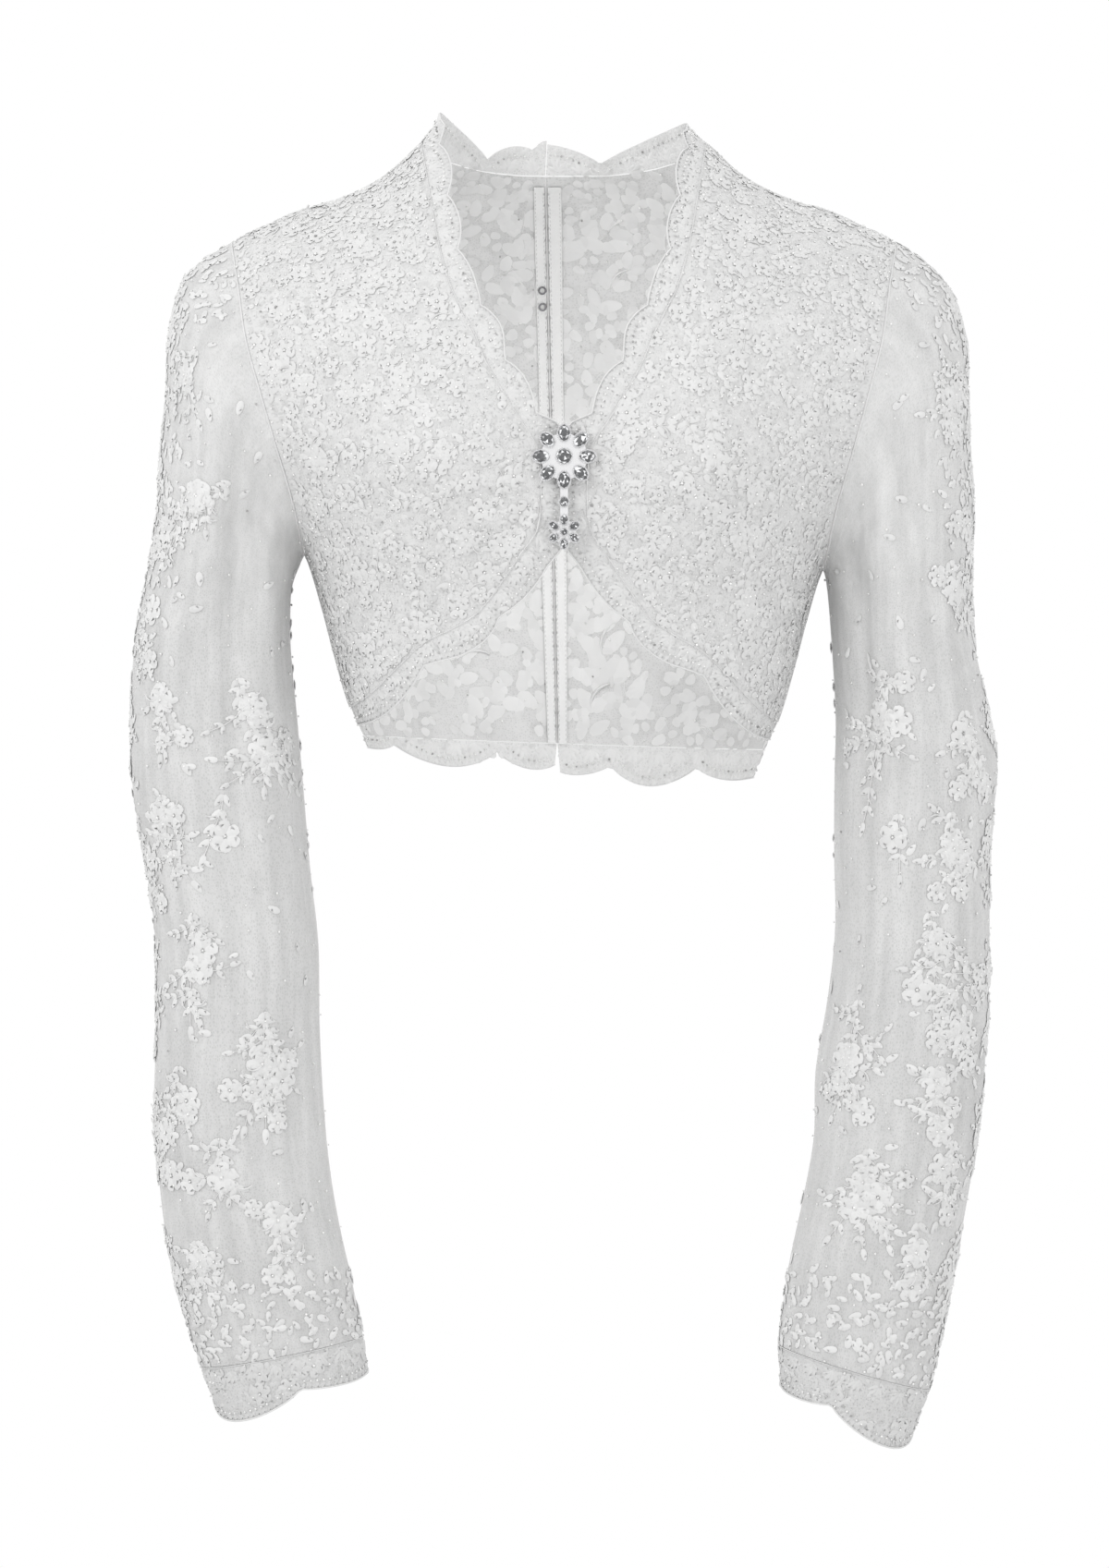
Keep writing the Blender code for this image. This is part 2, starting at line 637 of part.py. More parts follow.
def sleeve_grid(name):
    """Rings of the sleeve from the armhole to the cuff seam."""
    side = SIDES[name]
    angles = np.linspace(0.0, 2 * pi, 2 * ARMHOLE_ROWS, endpoint=False)
    loop = armhole_loop(side)
    first = sleeve_section(name, 0, angles)
    last_row = len(SLEEVES[name]) - 2
    rings = []
    for place in np.linspace(0.0, last_row, SLEEVE_RINGS + 1):
        ring = sleeve_section(name, place, angles)
        fade = max(0.0, 1.0 - place / LAST_CAP_ROW) ** 2
        ring = ring + fade * (loop - first)
        rings.append(ring)
    grid = np.stack(rings)
    grid[..., 0] += side * SLEEVE_SEAM
    found = tube_directions(grid)
    shares = np.linspace(0.0, 1.0, SLEEVE_RINGS + 1)
    heights = np.stack([fold_height(name, share, angles) for share in shares])
    return grid + heights[..., None] * found


def tube_directions(grid):
    middle = grid.mean(axis=1, keepdims=True)
    return normals(grid, grid - middle, wrap=True)


def add_sleeve(name, material):
    """A sleeve in two lengths that meet at the elbow, which keeps its hollow open in collision."""
    outer = sleeve_grid(name)
    inner = outer - CLOTH * tube_directions(outer)
    upper = slice(0, ELBOW_RING + 1)
    add_wall(f"sleeve_upper_{name}", outer[upper], inner[upper], material, wrap=True)
    gap = SEAM * unit(outer[ELBOW_RING + 1] - outer[ELBOW_RING])
    outer[ELBOW_RING] += gap
    inner[ELBOW_RING] += gap
    add_wall(f"sleeve_lower_{name}", outer[ELBOW_RING:], inner[ELBOW_RING:], material, wrap=True)


def add_cuff(name, material):
    ring = sleeve_grid(name)[-1]
    seam = between(np.concatenate([ring, ring[:1]]), 2)[:-1]
    angles = np.linspace(0.0, 2 * pi, len(seam), endpoint=False)
    edge = sleeve_section(name, len(SLEEVES[name]) - 1, angles)
    edge[:, 0] += SIDES[name] * SLEEVE_SEAM
    down = unit(edge.mean(axis=0) - seam.mean(axis=0))
    lobes = scallop(CUFF_SCALLOPS * angles / (2 * pi) + 0.3)
    edge = edge + CUFF_SCALLOP_DEPTH * lobes[:, None] * down
    grid = np.stack([seam + SEAM * unit(edge - seam), edge])
    found = tube_directions(grid)
    return add_wall(f"cuff_{name}", grid, grid - BORDER * found, material, wrap=True)


Stone = namedtuple("Stone", "name x z length width turn")


def stone_places():
    """Each stone's place from the middle of the brooch, half its length and width, and its turn."""
    places = [
        Stone("heart", 0.0, 0.0, HEART_STONE, HEART_STONE, 0.0),
        Stone("link", 0.0, LINK_Z, LINK_STONE, LINK_STONE, 0.0),
        Stone("drop_heart", 0.0, DROP_Z, DROP_HEART, DROP_HEART, 0.0),
    ]
    rings = [
        ("petal", 0.0, PETAL_RING, PETAL_COUNT, PETAL_STONE),
        ("drop", DROP_Z, DROP_RING, DROP_COUNT, DROP_STONE),
    ]
    for name, middle, ring, count, length in rings:
        for number in range(count):
            turn = pi / 2 + 2 * pi * number / count
            x = ring * cos(turn)
            z = middle + ring * sin(turn)
            places.append(Stone(f"{name}_{number + 1}", x, z, length, length * OVAL, turn))
    return places


def brooch_back():
    """How far forward the back of the brooch lies, clear of the borders behind it."""
    half = PETAL_RING + PETAL_STONE
    x = np.linspace(-half, half, 25)[None, :]
    z = np.linspace(BROOCH_Z + DROP_Z - DROP_RING - DROP_STONE, BROOCH_Z + half, 41)[:, None]
    x, z = np.broadcast_arrays(x, z)
    surface = torso(turn_at(np.abs(x), z), z, 1, FRONT)
    return float(surface[..., 1].min()) - BROOCH_CLEAR


def disc(name, stone, depth, sides, start):
    """An oval plate that faces -Y. start is how far its back lies in front of the brooch's back."""
    bpy.ops.mesh.primitive_cylinder_add(
        vertices=sides,
        radius=1.0,
        depth=depth,
        location=(stone.x, brooch_back() - start - depth / 2, BROOCH_Z + stone.z),
        rotation=(pi / 2, -stone.turn, 0.0),
    )
    made = bpy.context.object
    made.scale = (stone.length, stone.width, 1.0)
    made.name = name
    return made


def join_to(target, piece):
    """Adds a piece to the target by a union and removes it."""
    joint = target.modifiers.new("join", "BOOLEAN")
    joint.operation = "UNION"
    joint.object = piece
    bpy.context.view_layer.objects.active = target
    bpy.ops.object.modifier_apply(modifier=joint.name)
    bpy.data.objects.remove(piece, do_unlink=True)


def move_to_parts(made, material):
    for home in list(made.users_collection):
        home.objects.unlink(made)
    parts.objects.link(made)
    made.data.materials.clear()
    made.data.materials.append(material)


def add_brooch(metal, glass):
    """The cast setting with a cup for each stone, and the stones."""
    face = Stone("face", 0.0, 0.0, PETAL_RING, PETAL_RING, 0.0)
    drop = Stone("drop", 0.0, DROP_Z, DROP_RING, DROP_RING, 0.0)
    setting = disc("brooch_setting", face, PLATE, 2 * CUP_SIDES, 0.0)
    join_to(setting, disc("drop_plate", drop, PLATE, 2 * CUP_SIDES, 0.0))
    bpy.ops.mesh.primitive_cube_add(size=1.0)
    link = bpy.context.object
    top = -PETAL_RING + LINK_WIDTH / 2
    bottom = DROP_Z + DROP_RING - LINK_WIDTH / 2
    link.scale = (LINK_WIDTH, PLATE * 0.9, top - bottom)
    link.location = (0.0, brooch_back() - PLATE * 0.5, BROOCH_Z + (top + bottom) / 2)
    join_to(setting, link)
    for stone in stone_places():
        cup = stone._replace(length=stone.length + CUP_WALL, width=stone.width + CUP_WALL)
        join_to(setting, disc("cup", cup, CUP, CUP_SIDES, CUP_SINK))
    move_to_parts(setting, metal)
    for stone in stone_places():
        cut = bmesh.new()
        bmesh.ops.create_cone(
            cut, cap_ends=True, segments=STONE_SIDES, radius1=1.0, radius2=STONE_TABLE, depth=STONE_RISE
        )
        made = add_object(f"stone_{stone.name}", cut, glass)
        made.scale = (stone.length, stone.width, 1.0)
        made.rotation_euler = (pi / 2, -stone.turn, 0.0)
        front = brooch_back() - CUP_SINK - CUP - BROOCH_CLEAR
        made.location = (stone.x, front - STONE_RISE / 2, BROOCH_Z + stone.z)


def add_hooks(metal):
    """Two wire eyes sewn inside the right placket at the centre back."""
    for name, z in HOOK_HEIGHTS.items():
        x = -centre_back_x(z, -1)
        surface = torso(turn_at(abs(x), z), z, -1, BACK)
        clear = CLOTH + SEAM + PLACKET + SEAM + HOOK_WIRE
        bpy.ops.mesh.primitive_torus_add(
            major_radius=HOOK_RING,
            minor_radius=HOOK_WIRE,
            major_segments=14,
            minor_segments=6,
            location=(x - HOOK_RING - HOOK_WIRE * 2, float(surface[1]) - clear - HOOK_GAP, z),
            rotation=(pi / 2, 0.0, 0.0),
        )
        made = bpy.context.object
        made.name = f"hook_{name}"
        move_to_parts(made, metal)


clear_scene()
parts = bpy.data.collections.new("bolero_jacket")
bpy.context.scene.collection.children.link(parts)
body_lace = make_material("body_lace", (0.84, 0.84, 0.83), 0.75)
sleeve_net = make_material("sleeve_net", (0.74, 0.74, 0.74), 0.85)
border_lace = make_material("border_lace", (0.88, 0.88, 0.87), 0.70)
placket_cloth = make_material("placket_cloth", (0.86, 0.86, 0.86), 0.80)
silver = make_material("silver", (0.72, 0.72, 0.74), 0.25, metallic=1.0)
cut_glass = make_material("cut_glass", (0.90, 0.92, 0.94), 0.05)

for side_name, side_sign in SIDES.items():
    add_panel(f"front_{side_name}", front_grid(side_sign), FRONT, side_sign, body_lace)
    add_panel(f"back_{side_name}", back_grid(side_sign), BACK, side_sign, body_lace)
    add_placket(f"placket_{side_name}", back_grid(side_sign), side_sign, placket_cloth)
    add_front_edging(f"front_edging_{side_name}", side_sign, border_lace)
    add_hem(f"hem_border_{side_name}", side_sign, border_lace)
    add_band(f"neck_band_{side_name}", side_sign, border_lace)
    add_sleeve(side_name, sleeve_net)
    add_cuff(side_name, border_lace)
add_brooch(silver, cut_glass)
add_hooks(silver)
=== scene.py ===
from math import cos, pi, radians, sin

import bmesh
import bpy
import numpy as np
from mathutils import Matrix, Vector


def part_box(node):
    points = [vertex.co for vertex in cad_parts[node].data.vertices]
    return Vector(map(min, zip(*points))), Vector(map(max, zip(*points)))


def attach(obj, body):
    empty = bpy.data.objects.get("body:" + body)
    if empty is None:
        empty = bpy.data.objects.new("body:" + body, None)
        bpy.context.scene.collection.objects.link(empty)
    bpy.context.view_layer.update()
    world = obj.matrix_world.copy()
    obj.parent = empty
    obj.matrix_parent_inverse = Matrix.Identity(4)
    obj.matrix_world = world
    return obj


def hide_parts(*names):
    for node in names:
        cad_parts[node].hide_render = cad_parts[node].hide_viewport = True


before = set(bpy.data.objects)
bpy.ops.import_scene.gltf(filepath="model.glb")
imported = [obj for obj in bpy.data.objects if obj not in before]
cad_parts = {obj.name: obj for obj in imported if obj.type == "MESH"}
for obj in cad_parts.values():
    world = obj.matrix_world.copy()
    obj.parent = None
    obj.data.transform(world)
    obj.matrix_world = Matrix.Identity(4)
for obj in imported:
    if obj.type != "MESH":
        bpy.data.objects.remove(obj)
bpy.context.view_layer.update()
print("frame loaded,", len(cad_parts), "nodes")

front, back = -1, 1
sides = {"right": -1, "left": 1}  # the wearer's sides, the wearer's left is +X

# The garment's form. Metres, |x| in every table, and each side gives it its sign.
garment = {
    "finer": 4,  # steps of this script for one step of the CAD
    "armholeRows": 12,
    "sideRows": 5,
    "columns": 12,
    "neckColumns": 6,
    "sleeveRings": 26,
    "seam": 0.0004,
    "sleeveSeam": 0.0008,
    "squareness": 0.8,
    "shoulderRound": 0.090,
    "leanBy": 0.035,
    "leanTop": -0.050,
    "leanFull": -0.250,
    "neckPoint": 0.0775,
    "shoulderTip": 0.179,
    "underarm": -0.198,
    "frontSide": -0.280,
    "backHem": -0.2945,
    "centreTop": -0.010,
    "centreHem": -0.0035,
}
bust = {"reach": 0.014, "x": 0.074, "z": -0.145, "width": 0.042, "height": 0.050}
torsoTable = {
    "z": [-0.325, -0.300, -0.280, -0.2525, -0.225, -0.198, -0.165, -0.130, -0.090, -0.050, 0.0, 0.030, 0.060],
    "halfWidth": [0.0975, 0.1065, 0.1155, 0.1238, 0.1310, 0.1395, 0.1580, 0.1830, 0.2030, 0.2070, 0.1980,
                  0.1850, 0.1650],
    "frontDepth": [0.0760, 0.0775, 0.0795, 0.0840, 0.0900, 0.0970, 0.1010, 0.1020, 0.0970, 0.0870, 0.0670,
                   0.0530, 0.0400],
    "backDepth": [0.0720, 0.0730, 0.0745, 0.0780, 0.0830, 0.0880, 0.0940, 0.0990, 0.1000, 0.0940, 0.0780,
                  0.0620, 0.0500],
}
shoulderTable = {
    "x": [0.0, 0.040, 0.0775, 0.093, 0.1215, 0.144, 0.163, 0.184, 0.220],
    "z": [0.060, 0.053, 0.030, 0.0155, 0.0, -0.007, -0.0155, -0.0265, -0.055],
}
armholeTable = {
    "z": [-0.198, -0.170, -0.1425, -0.110, -0.080, -0.050, -0.024],
    "x": [0.1395, 0.1440, 0.1515, 0.1605, 0.1685, 0.1735, 0.1790],
}
neckTable = {"x": [0.0, 0.030, 0.055, 0.070, 0.0775], "z": [0.019, 0.0195, 0.0225, 0.0265, 0.030]}
edgeTable = {  # the free edge of a front and the seam of its border, from the neck to the side
    "edgeX": [0.0665, 0.0632, 0.0590, 0.0548, 0.0483, 0.0415, 0.0352, 0.0305, 0.0240, 0.0175, 0.0105, 0.0015,
              0.0005, 0.0005, 0.0010, 0.0120, 0.0255, 0.0375, 0.0520, 0.0680, 0.0820, 0.0970, 0.1102],
    "edgeZ": [0.0425, 0.0200, -0.0065, -0.0300, -0.0540, -0.0655, -0.0780, -0.0915, -0.1035, -0.1150, -0.1255,
              -0.1330, -0.1500, -0.1750, -0.1940, -0.2060, -0.2240, -0.2385, -0.2480, -0.2560, -0.2690, -0.2830,
              -0.2920],
    "seamX": [0.0775, 0.0748, 0.0708, 0.0668, 0.0605, 0.0530, 0.0468, 0.0410, 0.0335, 0.0265, 0.0195, 0.0140,
              0.0125, 0.0125, 0.0145, 0.0225, 0.0350, 0.0455, 0.0575, 0.0730, 0.0880, 0.1020, 0.1155],
    "seamZ": [0.0300, 0.0150, -0.0075, -0.0300, -0.0545, -0.0705, -0.0830, -0.0975, -0.1110, -0.1230, -0.1335,
              -0.1430, -0.1545, -0.1725, -0.1855, -0.1970, -0.2155, -0.2285, -0.2365, -0.2445, -0.2580, -0.2715,
              -0.2800],
}
centreFrom, centreTo, openingRows = 11, 14, 14
scallops = {
    "neckline": 0.031,
    "lower": 0.043,
    "frontDepth": 0.42,
    "round": 0.7,
    "peakRight": 0.0,
    "peakLeft": -0.0055,
    "hemNotch": 0.0012,
    "bandLeanBack": 0.0050,
    "bandLeanSide": 0.0110,
}
# The uneven lobes of the other borders, where the CAD's are even: the cusp where each starts, how far the
# edge lies from the seam there, and how far the lobe rounds out. The hem is counted in metres from the
# middle, the band in shares from the centre back and the cuff in turns from the outer point by the front.
lobeTables = {
    "hem_right": {"start": [-0.0040, 0.0380, 0.0945, 0.1160], "level": [0.0055, 0.0050, 0.0035, 0.0030],
                  "height": [0.0095, 0.0105, 0.0035, 0.0]},
    "hem_left": {"start": [-0.0140, 0.0275, 0.0765, 0.1190], "level": [0.0105, 0.0105, 0.0100, 0.0100],
                 "height": [0.0065, 0.0115, 0.0070, 0.0]},
    "band_right": {"start": [-0.08, 0.08, 0.37, 1.0], "level": [0.0126, 0.0126, 0.0049, 0.0125],
                   "height": [0.0060, 0.0055, 0.0105, 0.0]},
    "band_left": {"start": [-0.22, 0.273, 1.0], "level": [0.0125, 0.0048, 0.0070],
                  "height": [0.0075, 0.0105, 0.0]},
    "cuff_right": {"start": [0.0, 0.275, 0.50, 0.76, 1.0], "level": [0.0, 0.0, 0.0, 0.0, 0.0],
                   "height": [0.0110, 0.0035, 0.0060, 0.0085, 0.0]},
    "cuff_left": {"start": [0.0, 0.295, 0.50, 0.76, 1.0], "level": [0.0, 0.0, 0.0, 0.0, 0.0],
                  "height": [0.0125, 0.0040, 0.0060, 0.0090, 0.0]},
}
sleeveTables = {  # from the armhole to the cuff's free edge, the row before the last is the cuff seam
    "right": {
        "outerX": [0.1790, 0.1950, 0.2065, 0.2130, 0.2145, 0.2175, 0.2200, 0.2250, 0.2320, 0.2335, 0.2325,
                   0.2255, 0.2205, 0.2200, 0.2213, 0.2190, 0.2150, 0.2065, 0.1960, 0.1885],
        "outerZ": [-0.0240, -0.0340, -0.0480, -0.0760, -0.1080, -0.1400, -0.1720, -0.2050, -0.2440, -0.2850,
                   -0.3220, -0.3620, -0.4030, -0.4480, -0.4880, -0.5250, -0.5600, -0.5980, -0.6320, -0.6510],
        "innerX": [0.1395, 0.1408, 0.1418, 0.1430, 0.1442, 0.1453, 0.1461, 0.1466, 0.1465, 0.1430, 0.1395,
                   0.1360, 0.1315, 0.1308, 0.1290, 0.1260, 0.1210, 0.1135, 0.1075, 0.1055],
        "innerZ": [-0.1980, -0.1993, -0.2010, -0.2030, -0.2055, -0.2087, -0.2130, -0.2200, -0.2430, -0.2810,
                   -0.3200, -0.3620, -0.4030, -0.4460, -0.4840, -0.5190, -0.5510, -0.5850, -0.6150, -0.6330],
        "depth": [0.058, 0.058, 0.058, 0.057, 0.056, 0.055, 0.054, 0.053, 0.051, 0.050, 0.049, 0.048, 0.046,
                  0.044, 0.042, 0.040, 0.038, 0.035, 0.032, 0.030],
    },
    "left": {
        "outerX": [0.1790, 0.1950, 0.2080, 0.2165, 0.2182, 0.2190, 0.2213, 0.2200, 0.2215, 0.2290, 0.2343,
                   0.2300, 0.2300, 0.2293, 0.2270, 0.2225, 0.2165, 0.2080, 0.1975, 0.1885],
        "outerZ": [-0.0240, -0.0350, -0.0500, -0.0760, -0.1060, -0.1380, -0.1680, -0.2010, -0.2380, -0.2770,
                   -0.3090, -0.3500, -0.3950, -0.4350, -0.4750, -0.5130, -0.5500, -0.5950, -0.6440, -0.6650],
        "innerX": [0.1395, 0.1400, 0.1404, 0.1408, 0.1411, 0.1415, 0.1420, 0.1428, 0.1443, 0.1459, 0.1453,
                   0.1450, 0.1456, 0.1415, 0.1350, 0.1340, 0.1280, 0.1200, 0.1152, 0.1165],
        "innerZ": [-0.1980, -0.2008, -0.2036, -0.2065, -0.2096, -0.2132, -0.2185, -0.2280, -0.2500, -0.2820,
                   -0.3120, -0.3530, -0.3950, -0.4330, -0.4720, -0.5080, -0.5420, -0.5800, -0.6200, -0.6400],
        "depth": [0.058, 0.058, 0.058, 0.057, 0.056, 0.055, 0.054, 0.053, 0.051, 0.050, 0.049, 0.048, 0.047,
                  0.045, 0.043, 0.041, 0.038, 0.035, 0.032, 0.030],
    },
}
lastCapRow = 6
# The sleeves' soft folds. angle is turned from the outer point to the front, start and end are shares of
# the length, and height is how far the ridge stands out.
foldTables = {
    "right": {
        "angle": [78, 108, 138, 235, 300, 93, 123, 152, 168],
        "width": [17, 15, 16, 20, 22, 7, 6, 6, 8],
        "start": [0.02, 0.05, 0.10, 0.05, 0.30, 0.04, 0.08, 0.12, 0.30],
        "end": [0.50, 0.62, 0.72, 0.55, 0.90, 0.46, 0.52, 0.66, 0.86],
        "height": [0.0038, -0.0046, 0.0042, -0.0036, 0.0028, 0.0011, -0.0012, 0.0011, 0.0010],
    },
    "left": {
        "angle": [72, 104, 136, 232, 296, 88, 120, 150, 166],
        "width": [18, 15, 15, 20, 22, 7, 6, 6, 8],
        "start": [0.05, 0.03, 0.08, 0.10, 0.25, 0.06, 0.05, 0.10, 0.24],
        "end": [0.45, 0.70, 0.62, 0.60, 0.85, 0.50, 0.56, 0.60, 0.80],
        "height": [-0.0030, 0.0044, -0.0044, 0.0034, -0.0028, -0.0010, 0.0012, 0.0011, -0.0010],
    },
}
# Soft pulls in the fronts: the even ones run out from the brooch, and each crease is one soft ridge or
# trough from a place towards a heading.
pulls = {"x": 0.012, "z": -0.165, "count": 9, "height": 0.0011, "length": 0.085}
creases = {
    "x": [0.046, 0.036, 0.094, 0.120, 0.110, 0.128, 0.066, 0.060, 0.072, 0.050, 0.084, 0.028],
    "z": [-0.168, -0.135, -0.190, -0.120, -0.235, -0.175, -0.222, -0.213, -0.229, -0.203, -0.214, -0.196],
    "heading": [12, 48, -62, 68, -70, 82, -48, -47, -50, -44, -55, -38],
    "length": [0.034, 0.022, 0.030, 0.036, 0.024, 0.028, 0.019, 0.022, 0.017, 0.020, 0.018, 0.016],
    "width": [0.0050, 0.0042, 0.0055, 0.0060, 0.0050, 0.0052, 0.0026, 0.0036, 0.0030, 0.0032, 0.0034, 0.0030],
    "height": [0.0010, -0.0008, 0.0009, -0.0010, 0.0008, 0.0009, -0.0020, 0.0017, 0.0014, -0.0011, -0.0009,
               0.0010],
}


def spline(knots, values, at):  # smooth through rising knots, straight beyond its ends
    knots, values, at = (np.asarray(each, float) for each in (knots, values, at))
    steps = np.diff(knots)
    rises = np.diff(values) / steps
    slopes = np.empty_like(values)
    slopes[1:-1] = (rises[:-1] * steps[1:] + rises[1:] * steps[:-1]) / (steps[:-1] + steps[1:])
    slopes[0], slopes[-1] = rises[0], rises[-1]
    spot = np.clip(np.searchsorted(knots, at) - 1, 0, len(steps) - 1)
    width = steps[spot]
    share = np.clip((at - knots[spot]) / width, 0.0, 1.0)
    beyond = at - np.clip(at, knots[0], knots[-1])
    curve = (
        values[spot] * (1 + 2 * share) * (1 - share) ** 2
        + slopes[spot] * width * share * (1 - share) ** 2
        + values[spot + 1] * share**2 * (3 - 2 * share)
        - slopes[spot + 1] * width * share**2 * (1 - share)
    )
    return curve + beyond * np.where(beyond < 0, slopes[0], slopes[-1])


def shoulderHeight(x):
    return spline(shoulderTable["x"], shoulderTable["z"], np.abs(x))


def halfWidth(z):
    return spline(torsoTable["z"], torsoTable["halfWidth"], z)


def armholeX(z):
    return np.minimum(spline(armholeTable["z"], armholeTable["x"], z), halfWidth(z))


def turnAt(x, z):
    return np.arcsin(np.clip(x / halfWidth(z), -1.0, 1.0))


def pullHeight(x, z):
    far = np.hypot(x - pulls["x"], z - pulls["z"])
    turn = np.arctan2(z - pulls["z"], x - pulls["x"])
    swell = np.clip(far / 0.02, 0.0, 1.0) ** 2 * np.exp(-((far / pulls["length"]) ** 2))
    return pulls["height"] * swell * np.sin(pulls["count"] * turn + 0.6)


def creaseHeight(x, z):
    total = np.zeros_like(x)
    for spot in range(len(creases["x"])):
        heading = radians(creases["heading"][spot])
        dx, dz = x - creases["x"][spot], z - creases["z"][spot]
        along = (dx * cos(heading) + dz * sin(heading)) / creases["length"][spot]
        bend = 0.12 * creases["length"][spot] * along * along
        away = (dz * cos(heading) - dx * sin(heading) - bend) / creases["width"][spot]
        total += creases["height"][spot] * np.exp(-(along**2) * 1.6 - away**2)
    return total


def torso(turn, z, side, face):
    turn, z = np.asarray(turn, float), np.asarray(z, float)
    x = halfWidth(z) * np.sin(turn)
    below = np.clip((shoulderHeight(x) - z) / garment["shoulderRound"], 0.0, 1.0)
    roll = np.sqrt(1.0 - (1.0 - below) ** 2)
    flat = np.abs(np.cos(turn)) ** garment["squareness"]
    depth = spline(torsoTable["z"], torsoTable["frontDepth" if face == front else "backDepth"], z) * flat
    if face == front:
        out = np.abs(x)
        swell = np.exp(-(((out - bust["x"]) / bust["width"]) ** 2) - ((z - bust["z"]) / bust["height"]) ** 2)
        depth = depth + (bust["reach"] * swell + pullHeight(x, z) + creaseHeight(out, z)) * flat
    share = np.clip((garment["leanTop"] - z) / (garment["leanTop"] - garment["leanFull"]), 0.0, 1.0)
    lean = garment["leanBy"] * share * share * (3 - 2 * share)
    return np.stack([side * x, face * (garment["seam"] / 2 + depth * roll), z - lean * side * x], axis=-1)


def unit(vectors):
    return vectors / np.maximum(np.linalg.norm(vectors, axis=-1, keepdims=True), 1e-12)


def walk(points):
    return np.concatenate([[0.0], np.cumsum(np.linalg.norm(np.diff(points, axis=0), axis=1))])


def between(points, pieces):  # the same broken line with each stretch cut into equal parts
    places = np.linspace(0, len(points) - 1, (len(points) - 1) * pieces + 1)
    rows = np.arange(len(points))
    return np.stack([np.interp(places, rows, points[:, axis]) for axis in range(points.shape[1])], axis=-1)


def evenSteps(points, count, first, last):
    fine = np.linspace(first, last, 40 * count + 1)
    rows = np.arange(len(points))
    line = np.stack([spline(rows, points[:, axis], fine) for axis in range(points.shape[1])], axis=-1)
    walked = walk(line)
    return np.interp(np.linspace(0.0, walked[-1], count + 1), walked, fine)


def patch(left, right, top, bottom):  # a grid of (turn, z) between four edge lines, from top to bottom
    v = np.linspace(0.0, 1.0, len(left))[:, None, None]
    u = np.linspace(0.0, 1.0, len(top))[None, :, None]
    across = (1 - u) * left[:, None] + u * right[:, None]
    down = (1 - v) * top[None] + v * bottom[None]
    corners = (1 - v) * ((1 - u) * top[0] + u * top[-1]) + v * ((1 - u) * bottom[0] + u * bottom[-1])
    return across + down - corners


def armholeHeights():
    top = float(shoulderHeight(garment["shoulderTip"]))
    middle = (top + garment["underarm"]) / 2
    count = garment["armholeRows"] * garment["finer"]
    return middle + (top - garment["underarm"]) / 2 * np.cos(np.linspace(0.0, pi, count + 1))


def outerLine(sideZ):
    z = armholeHeights()
    arm = np.stack([turnAt(armholeX(z), z), z], axis=-1)
    side = np.linspace(garment["underarm"], sideZ, garment["sideRows"] * garment["finer"] + 1)[1:]
    return np.concatenate([arm, np.stack([np.full_like(side, pi / 2), side], axis=-1)])


def shoulderLine(count):
    x = np.linspace(garment["neckPoint"], garment["shoulderTip"], count + 1)
    z = shoulderHeight(x)
    return np.stack([turnAt(x, z), z], axis=-1)


def edgePoints():
    return np.stack([edgeTable[name] for name in ("edgeX", "edgeZ", "seamX", "seamZ")], axis=-1)


def edgeAt(places):
    table = edgePoints()
    rows = np.arange(len(table))
    return np.stack([spline(rows, table[:, axis], places) for axis in range(4)], axis=-1)


def frontPlaces():
    seam = edgePoints()[:, 2:]
    rows = (garment["armholeRows"] + garment["sideRows"]) * garment["finer"]
    opening = evenSteps(seam, rows, 0, openingRows)
    lower = evenSteps(seam, garment["columns"] * garment["finer"], openingRows, len(seam) - 1)
    return opening, lower


def frontGrid(side):
    opening, lower = (edgeAt(places)[:, 2:] for places in frontPlaces())
    left = np.stack([turnAt(opening[:, 0], opening[:, 1]), opening[:, 1]], axis=-1)
    bottom = np.stack([turnAt(lower[:, 0], lower[:, 1]), lower[:, 1]], axis=-1)
    right = outerLine(garment["frontSide"])
    bottom[-1] = right[-1]
    grid = patch(left, right, shoulderLine(len(bottom) - 1), bottom)
    return torso(grid[..., 0], grid[..., 1], side, front)


def centreBackX(z, side):
    share = (z - garment["backHem"]) / (neckTable["z"][0] - garment["backHem"])
    lean = garment["centreHem"] + (garment["centreTop"] - garment["centreHem"]) * share
    return side * lean + garment["seam"] / 2


def backGrid(side):
    columns = garment["columns"] * garment["finer"]
    neckColumns = garment["neckColumns"] * garment["finer"]
    rows = (garment["armholeRows"] + garment["sideRows"]) * garment["finer"]
    z = np.linspace(neckTable["z"][0], garment["backHem"], rows + 1)
    left = np.stack([turnAt(centreBackX(z, side), z), z], axis=-1)
    start = centreBackX(neckTable["z"][0], side)
    neckX = start + (garment["neckPoint"] - start) * np.sin(np.linspace(0.0, pi / 2, neckColumns + 1))
    neckZ = spline(neckTable["x"], neckTable["z"], np.abs(neckX))
    neck = np.stack([turnAt(neckX, neckZ), neckZ], axis=-1)
    top = np.concatenate([neck, shoulderLine(columns - neckColumns)[1:]])
    left[0] = top[0]
    turns = np.linspace(left[-1, 0], pi / 2, columns + 1)
    bottom = np.stack([turns, np.full_like(turns, garment["backHem"])], axis=-1)
    grid = patch(left, outerLine(garment["backHem"]), top, bottom)
    return torso(grid[..., 0], grid[..., 1], side, back)


def scallop(turns):  # round lobes between sharp cusps
    return np.abs(np.sin(pi * turns)) ** scallops["round"]


def lobed(name, at):  # how far a free edge with uneven lobes lies from its seam
    table = {field: np.array(values) for field, values in lobeTables[name].items()}
    spot = np.clip(np.searchsorted(table["start"], at, side="right") - 1, 0, len(table["start"]) - 2)
    turns = (at - table["start"][spot]) / (table["start"][spot + 1] - table["start"][spot])
    return np.interp(at, table["start"], table["level"]) + table["height"][spot] * scallop(turns)


